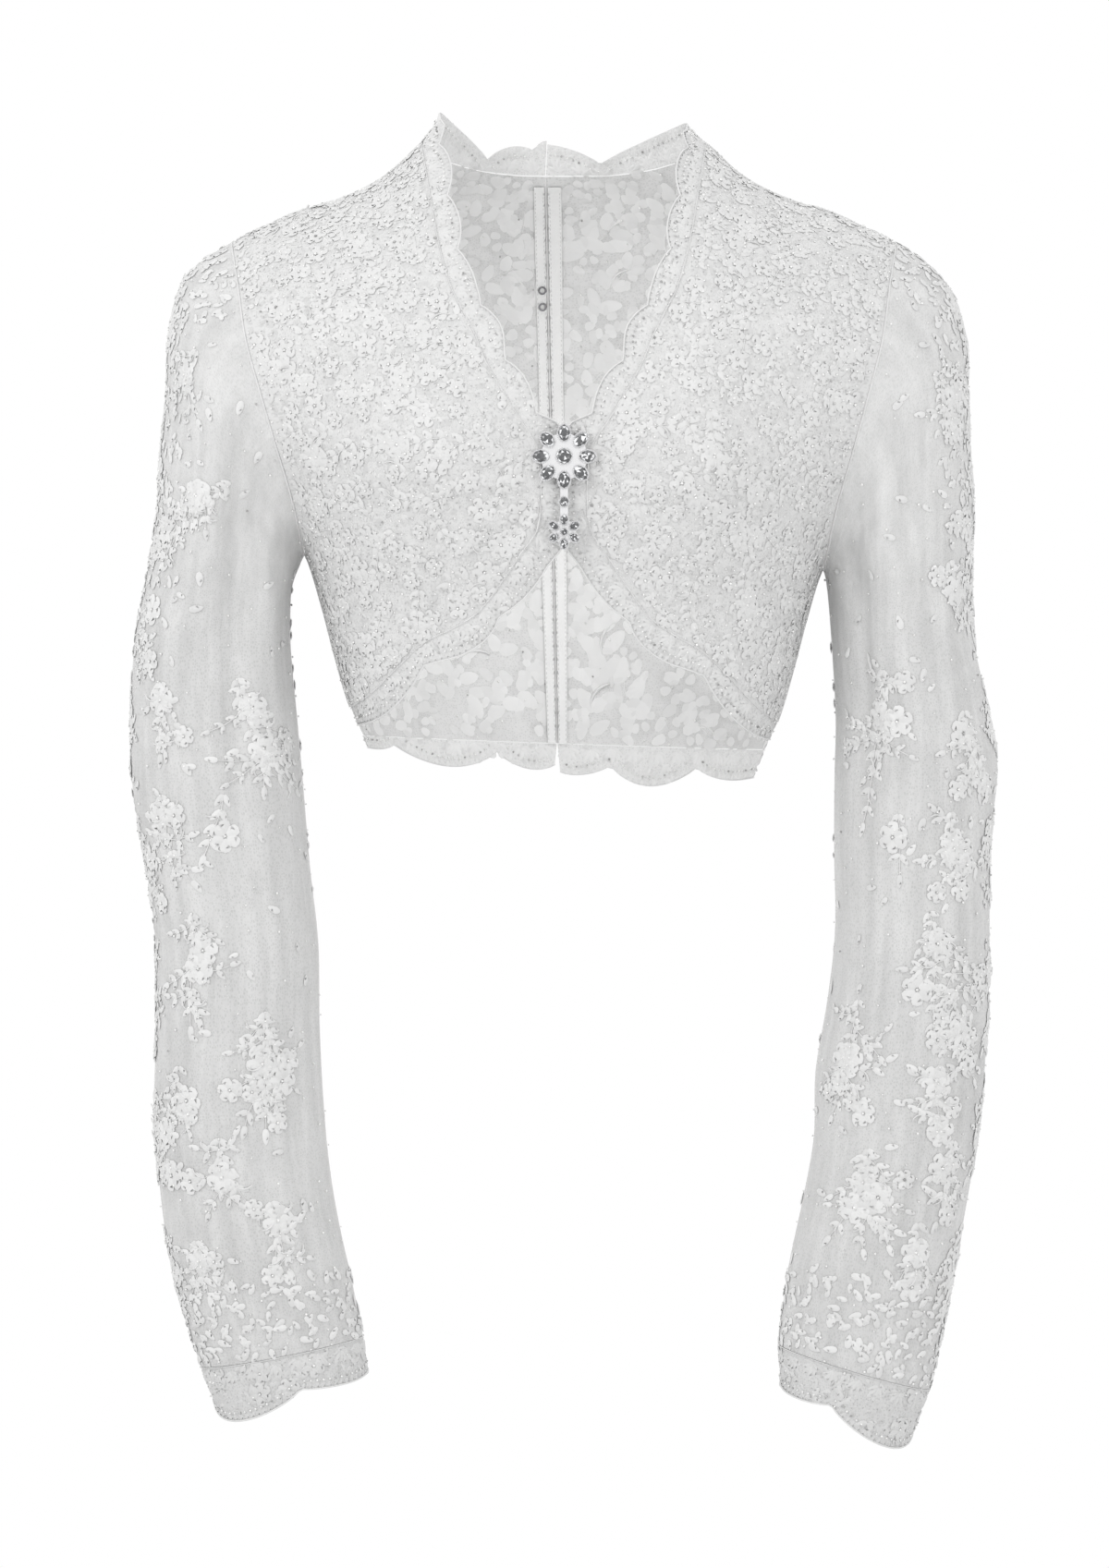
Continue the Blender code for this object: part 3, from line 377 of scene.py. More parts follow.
def nameOf(side):
    return "left" if side > 0 else "right"


def frontEdgingLines(side):  # the seam and the scalloped free edge of a front's border
    opening, lower = frontPlaces()
    places = np.concatenate([opening, lower[1:]])
    grid = frontGrid(side)
    seam = np.concatenate([grid[:, 0], grid[-1, 1:]])
    line = edgeAt(places)
    far = walk(line[:, :2])
    corner = np.interp(openingRows, places, far)
    start = np.interp(centreFrom, places, far)
    lobes = np.where(
        far < corner,
        scallop(0.5 + far * round(start / scallops["neckline"] - 0.5) / start),
        scallop((far - corner) * round((far[-1] - corner) / scallops["lower"]) / (far[-1] - corner)),
    )
    fade = np.clip(np.maximum(centreFrom - places, places - centreTo), 0.0, 1.0)
    reach = 1.0 + scallops["frontDepth"] * fade * (lobes - 0.6)
    reach[0] = 1.0
    flat = line[:, 2:] + (line[:, :2] - line[:, 2:]) * reach[:, None]
    edge = torso(turnAt(flat[:, 0], flat[:, 1]), flat[:, 1], side, front)
    edge[-1, 1] = -garment["seam"] / 2
    edge[0, 0] = side * line[0, 0]
    edge[:, 2] += scallops["peakLeft" if side > 0 else "peakRight"] * np.clip(1.0 - places, 0.0, 1.0)
    return seam, edge


def hemLines(side):
    seam = backGrid(side)[-1]
    z = garment["backHem"] - lobed(f"hem_{nameOf(side)}", side * seam[:, 0])
    start = turnAt(centreBackX(garment["backHem"], side), garment["backHem"])
    edge = torso(np.linspace(start, pi / 2, len(seam)), z, side, back)
    notch = np.clip(1.0 - np.arange(len(edge)) * 3.0 / garment["finer"], 0.0, 1.0)
    edge[:, 0] += side * scallops["hemNotch"] * notch
    return seam, edge


def bandLines(side):
    seam = between(backGrid(side)[0, : garment["neckColumns"] * garment["finer"] + 1], 2)
    far = walk(seam) / walk(seam)[-1]
    inward = -unit(seam * [1.0, 1.0, 0.0])
    lean = scallops["bandLeanBack"] + (scallops["bandLeanSide"] - scallops["bandLeanBack"]) * far**3
    edge = seam + inward * lean[:, None]
    edge[:, 2] += lobed(f"band_{nameOf(side)}", far)
    edge[-1, 1] = garment["seam"] / 2
    return seam, edge


def armholeLoop(side):
    z = armholeHeights()
    turns = turnAt(armholeX(z), z)
    loop = np.concatenate([torso(turns, z, side, front), torso(turns, z, side, back)[-2:0:-1]])
    loop[[0, len(z) - 1], 1] = 0.0
    return loop


def sleeveSection(name, place, angles):
    table = sleeveTables[name]
    rows = np.arange(len(table["depth"]))
    at = {field: float(spline(rows, table[field], place)) for field in table}
    side = sides[name]
    middle = np.array([side * (at["outerX"] + at["innerX"]) / 2, 0.0, (at["outerZ"] + at["innerZ"]) / 2])
    reach = np.array([side * (at["outerX"] - at["innerX"]) / 2, 0.0, (at["outerZ"] - at["innerZ"]) / 2])
    return middle + np.cos(angles)[:, None] * reach + np.sin(angles)[:, None] * [0.0, -at["depth"], 0.0]


def foldHeight(name, share, angles):
    total = np.zeros_like(angles)
    table = foldTables[name]
    for spot in range(len(table["angle"])):
        start, end = table["start"][spot], table["end"][spot]
        along = np.clip((share - start) / (end - start), 0.0, 1.0)
        sway = 3.0 * sin(5.0 * along + spot)  # a fold is never quite straight
        away = (angles - radians(table["angle"][spot] + sway) + pi) % (2 * pi) - pi
        bump = np.exp(-((away / radians(table["width"][spot])) ** 2))
        total += table["height"][spot] * sin(pi * along) ** 0.8 * bump
    return total


def sleeveGrid(name):
    side = sides[name]
    angles = np.linspace(0.0, 2 * pi, 2 * garment["armholeRows"] * garment["finer"], endpoint=False)
    rings = garment["sleeveRings"] * garment["finer"] + 1
    loop, first = armholeLoop(side), sleeveSection(name, 0, angles)
    grid = []
    for place in np.linspace(0.0, len(sleeveTables[name]["depth"]) - 2, rings):
        cap = max(0.0, 1.0 - place / lastCapRow) ** 2
        grid.append(sleeveSection(name, place, angles) + cap * (loop - first))
    grid = np.stack(grid)
    grid[..., 0] += side * garment["sleeveSeam"]
    heights = np.stack([foldHeight(name, share, angles) for share in np.linspace(0.0, 1.0, rings)])
    return grid + heights[..., None] * gridNormals(grid, grid - grid.mean(axis=1, keepdims=True), True)


def cuffLines(name):
    seam = sleeveGrid(name)[-1]
    angles = np.linspace(0.0, 2 * pi, len(seam), endpoint=False)
    edge = sleeveSection(name, len(sleeveTables[name]["depth"]) - 1, angles)
    edge[:, 0] += sides[name] * garment["sleeveSeam"]
    down = unit(edge.mean(axis=0) - seam.mean(axis=0))
    return seam, edge + lobed(f"cuff_{name}", angles / (2 * pi))[:, None] * down


def gridNormals(grid, outward, wrap=False):
    if wrap:
        across = np.roll(grid, -1, axis=1) - np.roll(grid, 1, axis=1)
    else:
        across = np.gradient(grid, axis=1)
    found = unit(np.cross(across, np.gradient(grid, axis=0)))
    return found * np.where((found * outward).sum(-1, keepdims=True) < 0, -1.0, 1.0)


def surfaceOf(points, outward, wrap=False):
    return {"points": points, "normals": gridNormals(points, outward, wrap), "wrap": wrap}


def panelSurface(grid, face):
    outward = np.zeros_like(grid)
    outward[..., 0] = grid[..., 0] * 0.5
    outward[..., 1] = face * 0.1
    outward[..., 2] = np.linspace(0.2, 0.0, len(grid))[:, None]
    return surfaceOf(grid, outward)


def tubeSurface(grid):
    return surfaceOf(grid, grid - grid.mean(axis=1, keepdims=True), True)


def stripGrid(seam, edge, rows=6):
    shares = np.linspace(0.0, 1.0, rows)[:, None, None]
    gap = garment["seam"] * unit(edge - seam)
    return (seam + gap) * (1 - shares) + edge * shares


def stripSurface(seam, edge, outward):
    grid = stripGrid(seam, edge)
    return surfaceOf(grid, np.broadcast_to(outward, grid.shape))


# Places on a surface are (u, v): columns across it and rows down it.
def sampleAt(surface, u, v):
    points, facing = surface["points"], surface["normals"]
    rows, columns = points.shape[:2]
    v = np.clip(v, 0.0, rows - 1 - 1e-6)
    u = np.mod(u, columns) if surface["wrap"] else np.clip(u, 0.0, columns - 1 - 1e-6)
    row, column = v.astype(int), u.astype(int) % columns
    beside = (column + 1) % columns
    du, dv = (u - np.floor(u))[:, None], (v - row)[:, None]
    p00, p01 = points[row, column], points[row, beside]
    p10, p11 = points[row + 1, column], points[row + 1, beside]
    place = (p00 * (1 - du) + p01 * du) * (1 - dv) + (p10 * (1 - du) + p11 * du) * dv
    n00, n01 = facing[row, column], facing[row, beside]
    n10, n11 = facing[row + 1, column], facing[row + 1, beside]
    out = unit((n00 * (1 - du) + n01 * du) * (1 - dv) + (n10 * (1 - du) + n11 * du) * dv)
    across = (p01 - p00) * (1 - dv) + (p11 - p10) * dv
    down = (p10 - p00) * (1 - du) + (p11 - p01) * du
    along = unit(across - (across * out).sum(-1, keepdims=True) * out)
    up = np.cross(out, along)
    up = up * np.where((up * down).sum(-1, keepdims=True) > 0, -1.0, 1.0)
    return {"place": place, "out": out, "along": along, "up": up, "across": across, "down": down}


def headed(here, heading):  # a heading as a direction along the surface
    return np.cos(heading)[:, None] * here["along"] + np.sin(heading)[:, None] * here["up"]


def stepOn(surface, u, v, heading, distance):
    here = sampleAt(surface, u, v)
    aim = headed(here, np.broadcast_to(heading, u.shape)) * np.broadcast_to(distance, u.shape)[:, None]
    a = (here["across"] ** 2).sum(-1)
    b = (here["across"] * here["down"]).sum(-1)
    c = (here["down"] ** 2).sum(-1)
    e, f = (here["across"] * aim).sum(-1), (here["down"] * aim).sum(-1)
    size = np.maximum(a * c - b * b, 1e-14)
    return u + np.clip((c * e - b * f) / size, -6, 6), v + np.clip((a * f - b * e) / size, -6, 6)


def isOn(surface, u, v, margin=0.0):
    rows, columns = surface["points"].shape[:2]
    inside = (v >= margin) & (v <= rows - 1 - margin)
    if surface["wrap"]:
        return inside
    return inside & (u >= margin) & (u <= columns - 1 - margin)


def scatterPlaces(surface, spacing, tries, draw, keep=None):
    # random places no closer than spacing to each other
    points = surface["points"]
    rows, columns = points.shape[:2]
    wide = np.roll(points, -1, axis=1) - points
    tall = np.diff(points, axis=0)
    area = np.linalg.norm(np.cross(wide[:-1], tall), axis=-1)
    if not surface["wrap"]:
        area = area[:, :-1]
    cells = draw.choice(area.size, tries, p=(area / area.sum()).ravel())
    u = cells % area.shape[1] + draw.random(tries)
    v = cells // area.shape[1] + draw.random(tries)
    if keep is not None:
        chosen = keep(sampleAt(surface, u, v)["place"]) > draw.random(tries)
        u, v = u[chosen], v[chosen]
    place = sampleAt(surface, u, v)["place"]
    held, kept = {}, []
    for number, point in enumerate(place):
        box = (point // spacing).astype(int)
        near = [
            other
            for dx in (-1, 0, 1) for dy in (-1, 0, 1) for dz in (-1, 0, 1)
            for other in held.get((box[0] + dx, box[1] + dy, box[2] + dz), ())
        ]
        if near and (((np.array(near) - point) ** 2).sum(-1) < spacing**2).any():
            continue
        held.setdefault(tuple(box), []).append(point)
        kept.append(number)
    return u[kept], v[kept]


print("surfaces defined")


def addObject(name, mesh, material=None):
    if material is not None:
        mesh.materials.clear()
        mesh.materials.append(material)
    made = bpy.data.objects.new(name, mesh)
    bpy.context.scene.collection.objects.link(made)
    return made


def addWall(name, surface, depth, thickness, material):
    # a closed wall whose outer face lies depth below the surface, with a UV map in metres
    outer = surface["points"] - depth * surface["normals"]
    inner = outer - thickness * surface["normals"]
    rows, columns = outer.shape[:2]
    wrap = surface["wrap"]
    index = np.arange(rows * columns).reshape(rows, columns)
    left = index if wrap else index[:, :-1]
    right = np.roll(index, -1, axis=1) if wrap else index[:, 1:]
    layer = rows * columns
    faces = np.stack([left[:-1], left[1:], right[1:], right[:-1]], axis=-1).reshape(-1, 4)
    quads = [faces, faces[:, ::-1] + layer]
    top = np.stack([left[0], right[0], right[0] + layer, left[0] + layer], axis=-1)
    bottom = np.stack([right[-1], left[-1], left[-1] + layer, right[-1] + layer], axis=-1)
    quads += [top, bottom]
    if not wrap:
        first, last = index[:, 0], index[:, -1]
        quads.append(np.stack([first[1:], first[:-1], first[:-1] + layer, first[1:] + layer], axis=-1))
        quads.append(np.stack([last[:-1], last[1:], last[1:] + layer, last[:-1] + layer], axis=-1))
    quads = np.concatenate(quads)
    points = np.concatenate([outer.reshape(-1, 3), inner.reshape(-1, 3)])
    corner = points[quads[0]]
    facing = np.cross(corner[2] - corner[0], corner[3] - corner[1])
    if facing @ surface["normals"][0, 0] < 0:
        quads = quads[:, ::-1]
    mesh = bpy.data.meshes.new(name)
    mesh.from_pydata(points.tolist(), [], quads.tolist())
    flatMap(mesh, surface, layer)
    mesh.shade_smooth()
    mesh.set_sharp_from_angle(angle=radians(50))
    mesh.update()
    return addObject(name, mesh, material)


def flatMap(mesh, surface, layer):
    rows, columns = surface["points"].shape[:2]
    wide = np.linalg.norm(np.diff(surface["points"], axis=1), axis=-1).mean()
    tall = np.linalg.norm(np.diff(surface["points"], axis=0), axis=-1).mean()
    corners = np.array([loop.vertex_index for loop in mesh.loops]) % layer
    u, v = (corners % columns).astype(float), (corners // columns).astype(float)
    if surface["wrap"]:  # the last column of faces runs on instead of back to 0
        faceOf = np.repeat(np.arange(len(mesh.polygons)), [len(face.vertices) for face in mesh.polygons])
        last = np.zeros(len(mesh.polygons), bool)
        np.logical_or.at(last, faceOf, u == columns - 1)
        u[last[faceOf] & (u == 0)] = columns
    spots = np.stack([u * wide, -v * tall], axis=-1)
    chart = mesh.uv_layers.new(name="UVMap")
    chart.data.foreach_set("uv", spots.ravel())


def cutSize(surface):  # the flat width, length and area of what a surface shows
    points = surface["points"]
    around = np.concatenate([points, points[:, :1]], axis=1) if surface["wrap"] else points
    width = np.linalg.norm(np.diff(around, axis=1), axis=-1).sum(axis=1).max()
    length = np.linalg.norm(np.diff(points, axis=0), axis=-1).sum(axis=0).max()
    wide, tall = np.diff(around, axis=1)[:-1], np.diff(around, axis=0)[:, :-1]
    area = np.linalg.norm(np.cross(wide, tall), axis=-1).sum()
    return (round(float(width), 3), round(float(length), 3)), round(float(area), 4)


# Finishes
threads = {
    "lace": (0.73, 0.73, 0.727),
    "backLace": (0.77, 0.77, 0.767),
    "sleeveLace": (0.77, 0.77, 0.767),
    "border": (0.72, 0.72, 0.717),
    # the cuffs' thread is a darker copy of the border thread: painted shade at the sleeve ends
    "cuffLace": (0.67, 0.67, 0.667),
    # the thread of the hem border and neck band is a lighter copy of the border thread: painted light on inner
    # faces that get little light
    "innerBorder": (0.79, 0.79, 0.787),
    "cord": (0.73, 0.73, 0.727),
    "piping": (0.72, 0.72, 0.717),
    "backSeam": (0.8, 0.8, 0.797),
    "bodyNet": (0.69, 0.69, 0.687),
    "backNet": (0.72, 0.72, 0.717),
    "sleeveNet": (0.77, 0.77, 0.767),
    "borderNet": (0.68, 0.68, 0.678),
    # the cuffs' net is a darker copy of the border net: painted shade at the sleeve ends
    "cuffNet": (0.62, 0.62, 0.618),
    # the net of the hem border and neck band is a lighter copy of the border net: painted light on inner faces
    # that get little light
    "bandNet": (0.76, 0.76, 0.757),
    "placket": (0.8, 0.8, 0.797),
    "pearl": (0.93, 0.93, 0.92),
    "silver": (0.84, 0.84, 0.85),
    "darkWire": (0.20, 0.20, 0.21),
}
netLook = {"mesh": 0.0013, "sleeveAlpha": 0.62, "bodyAlpha": 0.92, "backAlpha": 0.78, "thread": 0.10,
           "foldEvery": 0.011, "foldDepth": 0.0012}


def setUp(tree, node, **settings):  # a setting is a socket to link, an input's value or a property
    for name, value in settings.items():
        label = name.replace("_", " ")
        if label not in node.inputs:
            setattr(node, name, value)
        elif isinstance(value, bpy.types.NodeSocket):
            tree.links.new(value, node.inputs[label])
        else:
            node.inputs[label].default_value = value
    return node


def addNode(tree, kind, **settings):
    return setUp(tree, tree.nodes.new(kind), **settings)


def newMaterial(name, colour, roughness, **settings):
    material = bpy.data.materials.new(name)
    material.use_nodes = True
    tree = material.node_tree
    shader = tree.nodes["Principled BSDF"]
    setUp(tree, shader, Base_Color=(*colour, 1.0), Roughness=roughness, **settings)
    return material, tree, shader


def graded(colour, share):  # a colour made lighter or darker
    return (*[min(1.0, part * share) for part in colour], 1.0)


def chartOf(tree):
    return addNode(tree, "ShaderNodeUVMap", uv_map="UVMap").outputs["UV"]


def objectPlace(tree):
    return addNode(tree, "ShaderNodeTexCoord").outputs["Object"]


def toneOf(tree):
    return addNode(tree, "ShaderNodeAttribute", attribute_name="tone").outputs["Fac"]


def mixed(tree, **settings):
    return addNode(tree, "ShaderNodeMix", data_type="RGBA", **settings).outputs["Result"]


def bumped(tree, height, **settings):
    return addNode(tree, "ShaderNodeBump", Height=height, **settings).outputs["Normal"]


def tonedColour(tree, colour, useTone):
    # the thread's colour, a little uneven, and lighter or darker by the piece's own tone; the dark tone of some
    # beads is painted shade
    noise = addNode(tree, "ShaderNodeTexNoise", Scale=90.0, Detail=3.0, Vector=objectPlace(tree))
    plain = mixed(tree, A=graded(colour, 0.93), B=graded(colour, 1.04), Factor=noise.outputs["Fac"])
    if not useTone:
        return plain
    return mixed(tree, blend_type="MULTIPLY", Factor=1.0, A=plain, B=toneOf(tree))


def threadMaterial(name, colour, useTone=True, stitches=900.0):
    # satin stitch: fine ridges across each leaf, petal and cord
    material, tree, shader = newMaterial(name, colour, 0.58, Sheen_Weight=0.25, Specular_IOR_Level=0.35)
    ridges = addNode(tree, "ShaderNodeTexWave", Scale=stitches, Distortion=1.5, Detail=1.0,
                     Vector=chartOf(tree))
    setUp(tree, shader, Base_Color=tonedColour(tree, colour, useTone),
          Normal=bumped(tree, ridges.outputs["Fac"], Strength=0.35, Distance=0.0001))
    return material


def netMaterial(name, colour, alpha, folds=False):
    # fine net: lighter threads round darker holes, with soft folds along its length where it hangs free
    material, tree, shader = newMaterial(name, colour, 0.8, Alpha=alpha, Sheen_Weight=0.2)
    chart = chartOf(tree)
    holes = addNode(tree, "ShaderNodeTexVoronoi", feature="DISTANCE_TO_EDGE", Scale=1.0 / netLook["mesh"],
                    Randomness=0.7, Vector=chart).outputs["Distance"]
    ramp = addNode(tree, "ShaderNodeValToRGB", Fac=holes)
    for end, place, share in ((0, 1.0, 1.12), (1, 2.5, 0.96)):
        ramp.color_ramp.elements[end].position = netLook["thread"] * place
        ramp.color_ramp.elements[end].color = graded(colour, share)
    cloud = addNode(tree, "ShaderNodeTexNoise", Scale=38.0, Detail=4.0, Vector=chart)
    shown = mixed(tree, blend_type="MULTIPLY", Factor=0.16, A=ramp.outputs["Color"], B=cloud.outputs["Fac"])
    normal = bumped(tree, holes, Strength=0.4, Distance=0.0002, invert=True)
    if folds:  # the net is painted darker in the fold hollows and lighter on the ridges: painted shade and light on the folds
        squeeze = addNode(tree, "ShaderNodeMapping", Scale=(1.0, 0.12, 1.0), Vector=chart)
        bands = addNode(tree, "ShaderNodeTexNoise", Scale=1.0 / netLook["foldEvery"], Detail=3.0,
                        Roughness=0.6, Vector=squeeze.outputs["Vector"]).outputs["Fac"]
        normal = bumped(tree, bands, Strength=1.0, Distance=netLook["foldDepth"], Normal=normal)
        foldShading = addNode(tree, "ShaderNodeMapRange", From_Min=0.35, From_Max=0.65, To_Min=0.90, To_Max=1.04,
                          Value=bands)
        shown = mixed(tree, blend_type="MULTIPLY", Factor=1.0, A=shown, B=foldShading.outputs["Result"])
    setUp(tree, shader, Base_Color=shown, Normal=normal)
    return material


def beadMaterial(name, colour, roughness):
    # glass and pearl beads, light by their tone, and some painted dark: painted shade, grey specks that stand in
    # for shadowed gaps and dark reflections
    material, tree, shader = newMaterial(name, colour, roughness, Specular_IOR_Level=0.8, Coat_Weight=0.6,
                                         Coat_Roughness=0.05)
    setUp(tree, shader, Base_Color=tonedColour(tree, colour, True))
    return material


def silverMaterial(name, colour):
    material, tree, shader = newMaterial(name, colour, 0.24, Metallic=1.0)
    noise = addNode(tree, "ShaderNodeTexNoise", Scale=900.0, Detail=4.0,
                    Vector=objectPlace(tree)).outputs["Fac"]
    wear = addNode(tree, "ShaderNodeMapRange", To_Min=0.16, To_Max=0.40, Value=noise)
    setUp(tree, shader, Roughness=wear.outputs["Result"],
          Normal=bumped(tree, noise, Strength=0.25, Distance=0.0001))
    return material


def stoneMaterial():
    # cut glass whose facets are painted dark or bright by their tone: painted dark reflections and painted glints
    material, tree, shader = newMaterial("cutGlass", (0.5, 0.5, 0.52), 0.04, Specular_IOR_Level=1.0,
                                         Coat_Weight=1.0, Coat_Roughness=0.02)
    # the tone picks between a painted dark reflection and a painted highlight
    ramp = addNode(tree, "ShaderNodeValToRGB", Fac=toneOf(tree))
    ramp.color_ramp.elements[0].color = (0.02, 0.022, 0.026, 1.0)
    ramp.color_ramp.elements[1].color = (0.95, 0.96, 0.98, 1.0)
    setUp(tree, shader, Base_Color=ramp.outputs["Color"])
    return material


def placketMaterial():
    # a soft twill tape
    material, tree, shader = newMaterial("placketTape", threads["placket"], 0.7)
    turn = addNode(tree, "ShaderNodeMapping", Rotation=(0.0, 0.0, radians(45)), Vector=chartOf(tree))
    twill = addNode(tree, "ShaderNodeTexWave", Scale=350.0, Distortion=0.4, Vector=turn.outputs["Vector"])
    setUp(tree, shader, Base_Color=tonedColour(tree, threads["placket"], False),
          Normal=bumped(tree, twill.outputs["Fac"], Strength=0.4, Distance=0.0002))
    return material


finishes = {
    "lace": threadMaterial("beadedLaceThread", threads["lace"]),
    "sleeveNet": netMaterial("sleeveNet", threads["sleeveNet"], netLook["sleeveAlpha"], folds=True),
    "backNet": netMaterial("backNet", threads["backNet"], netLook["backAlpha"]),
    "placket": placketMaterial(),
    "bead": beadMaterial("glassBead", threads["pearl"], 0.16),
    "silver": silverMaterial("brightSilver", threads["silver"]),
    "darkWire": silverMaterial("darkWire", threads["darkWire"]),
    "stone": stoneMaterial(),
}
for kind in ("backLace", "sleeveLace", "border", "cuffLace", "innerBorder"):
    finishes[kind] = threadMaterial(f"{kind}Thread", threads[kind])
for kind in ("cord", "piping", "backSeam"):
    finishes[kind] = threadMaterial(f"{kind}Thread", threads[kind], useTone=False, stitches=600.0)
for kind in ("bodyNet", "borderNet", "cuffNet", "bandNet"):
    finishes[kind] = netMaterial(kind, threads[kind], netLook["bodyAlpha"])
print("finishes made")


# What is sewn on: small shapes, put at points by Geometry Nodes
def newTree(name, output, **inputs):  # an input is a kind of socket, or the number that it starts with
    tree = bpy.data.node_groups.new(name, "GeometryNodeTree")
    for label, value in inputs.items():
        kind = value if isinstance(value, str) else "Int" if isinstance(value, int) else "Float"
        socket = tree.interface.new_socket(label, in_out="INPUT", socket_type=f"NodeSocket{kind}")
        if kind != value:
            socket.default_value = value
    tree.interface.new_socket(output, in_out="OUTPUT", socket_type="NodeSocketGeometry")
    return tree, tree.nodes.new("NodeGroupInput").outputs


def timesBy(tree, value, factor):
    times = addNode(tree, "ShaderNodeMath", operation="MULTIPLY", Value=value)
    times.inputs[1].default_value = factor
    return times.outputs["Value"]


def sewnOnTree():
    tree, given = newTree("sewnOn", "Cloth", Places="Geometry", Shape="Object", Finish="Material", Tilt=0.1,
                          Seed=3)
    shape = addNode(tree, "GeometryNodeObjectInfo", Object=given["Shape"])
    kept = [addNode(tree, "GeometryNodeInputNamedAttribute", data_type="FLOAT_VECTOR", Name=name)
            for name in ("turn", "size")]
    turn, size = (node.outputs["Attribute"] for node in kept)
    jitter = addNode(tree, "FunctionNodeRandomValue", data_type="FLOAT_VECTOR",
                     Min=timesBy(tree, given["Tilt"], -1.0), Max=given["Tilt"], Seed=given["Seed"])
    asTurn, asJitter = (
        addNode(tree, "FunctionNodeEulerToRotation", Euler=euler).outputs["Rotation"]
        for euler in (turn, jitter.outputs["Value"])
    )
    both = addNode(tree, "FunctionNodeRotateRotation", rotation_space="LOCAL", Rotation=asTurn,
                   Rotate_By=asJitter)
    put = addNode(tree, "GeometryNodeInstanceOnPoints", Points=given["Places"],
                  Instance=shape.outputs["Geometry"], Rotation=both.outputs["Rotation"], Scale=size)
    real = addNode(tree, "GeometryNodeRealizeInstances", Geometry=put.outputs["Instances"])
    finish = addNode(tree, "GeometryNodeSetMaterial", Geometry=real.outputs["Geometry"],
                     Material=given["Finish"])
    addNode(tree, "NodeGroupOutput", Cloth=finish.outputs["Geometry"])
    return tree


def cordTree():
    tree, given = newTree("sewnCord", "Cord", Lines="Geometry", Thickness=0.001, Sides=5, Finish="Material")
    lines = addNode(tree, "GeometryNodeMeshToCurve", Mesh=given["Lines"])
    ring = addNode(tree, "GeometryNodeCurvePrimitiveCircle", Radius=timesBy(tree, given["Thickness"], 0.5),
                   Resolution=given["Sides"])
    sweep = addNode(tree, "GeometryNodeCurveToMesh", Fill_Caps=True, Curve=lines.outputs["Curve"],
                    Profile_Curve=ring.outputs["Curve"])
    smooth = addNode(tree, "GeometryNodeSetShadeSmooth", Geometry=sweep.outputs["Mesh"])
    finish = addNode(tree, "GeometryNodeSetMaterial", Geometry=smooth.outputs["Geometry"],
                     Material=given["Finish"])
    addNode(tree, "NodeGroupOutput", Cord=finish.outputs["Geometry"])
    return tree


trees = {"sewnOn": sewnOnTree(), "cord": cordTree()}


def inputsOf(tree):
    return {item.name: item.identifier for item in tree.interface.items_tree
            if item.item_type == "SOCKET" and item.in_out == "INPUT"}


def settle(made, tree, **values):  # runs a tree on an object and keeps the result as a plain mesh
    modifier = made.modifiers.new("shape", "NODES")
    modifier.node_group = tree
    names = inputsOf(tree)
    for name, value in values.items():
        modifier[names[name]] = value
    bpy.context.view_layer.update()
    graph = bpy.context.evaluated_depsgraph_get()
    mesh = bpy.data.meshes.new_from_object(
        made.evaluated_get(graph), preserve_all_data_layers=True, depsgraph=graph
    )
    made.modifiers.remove(modifier)
    old = made.data
    made.data = mesh
    bpy.data.meshes.remove(old)
    mesh.name = made.name
    return made


def shapeMesh(name, points, faces, sharpRim=False):
    mesh = bpy.data.meshes.new(name)
    mesh.from_pydata(points, [], faces)
    spots = [points[loop.vertex_index][:2] for loop in mesh.loops]
    chart = mesh.uv_layers.new(name="UVMap")
    for number, (x, y) in enumerate(spots):
        chart.data[number].uv = (x * 0.01, y * 0.01)  # in metres, for a leaf of about 10 mm
    mesh.shade_smooth()
    if sharpRim:
        mesh.set_sharp_from_angle(angle=radians(70))
    made = addObject(name, mesh)
    made.hide_render = True
    return made


def leafShape(name, count, fullest, blunt):
    # a padded leaf 1 long on X and 1 wide on Y, pointed at both ends, with a raised middle
    ring = []
    for number in range(count):
        turn = 2 * pi * number / count
        x = -0.5 * cos(turn)
        width = abs(sin(turn)) ** blunt * (1.0 + fullest * cos(turn))
        ring.append((x, 0.5 * width * (1 if sin(turn) >= 0 else -1), 0.0))
    points = ring + [(-0.22, 0.0, 0.5), (0.20, 0.0, 0.42), (0.0, 0.0, -0.5)]
    low, high, under = count, count + 1, count + 2
    faces = []
    for number in range(count):
        after = (number + 1) % count
        middle = (ring[number][0] + ring[after][0]) / 2
        faces.append((after, number, low if middle < 0 else high))
        faces.append((number, after, under))
    faces.append((count // 4, low, high))
    faces.append((count - count // 4, high, low))
    return shapeMesh(name, points, faces, sharpRim=True)


def curlShape(name, bend, steps=7, ringSides=4, thick=0.05):
    # a short curved cord from the origin along X
    points, faces = [], []
    for step in range(steps + 1):
        turn = bend * step / steps
        middle = (sin(turn) / bend, (1 - cos(turn)) / bend)
        taper = thick * (0.55 + 0.45 * sin(pi * step / steps))
        for number in range(ringSides):
            roll = 2 * pi * number / ringSides
            reach = taper * cos(roll)
            points.append((middle[0] - sin(turn) * reach, middle[1] + cos(turn) * reach, taper * sin(roll)))
    for step in range(steps):
        for number in range(ringSides):
            after = (number + 1) % ringSides
            a, b = step * ringSides + number, step * ringSides + after
            faces.append((a, b, b + ringSides, a + ringSides))
    faces.append(tuple(range(ringSides))[::-1])
    faces.append(tuple(steps * ringSides + number for number in range(ringSides)))
    return shapeMesh(name, points, faces)


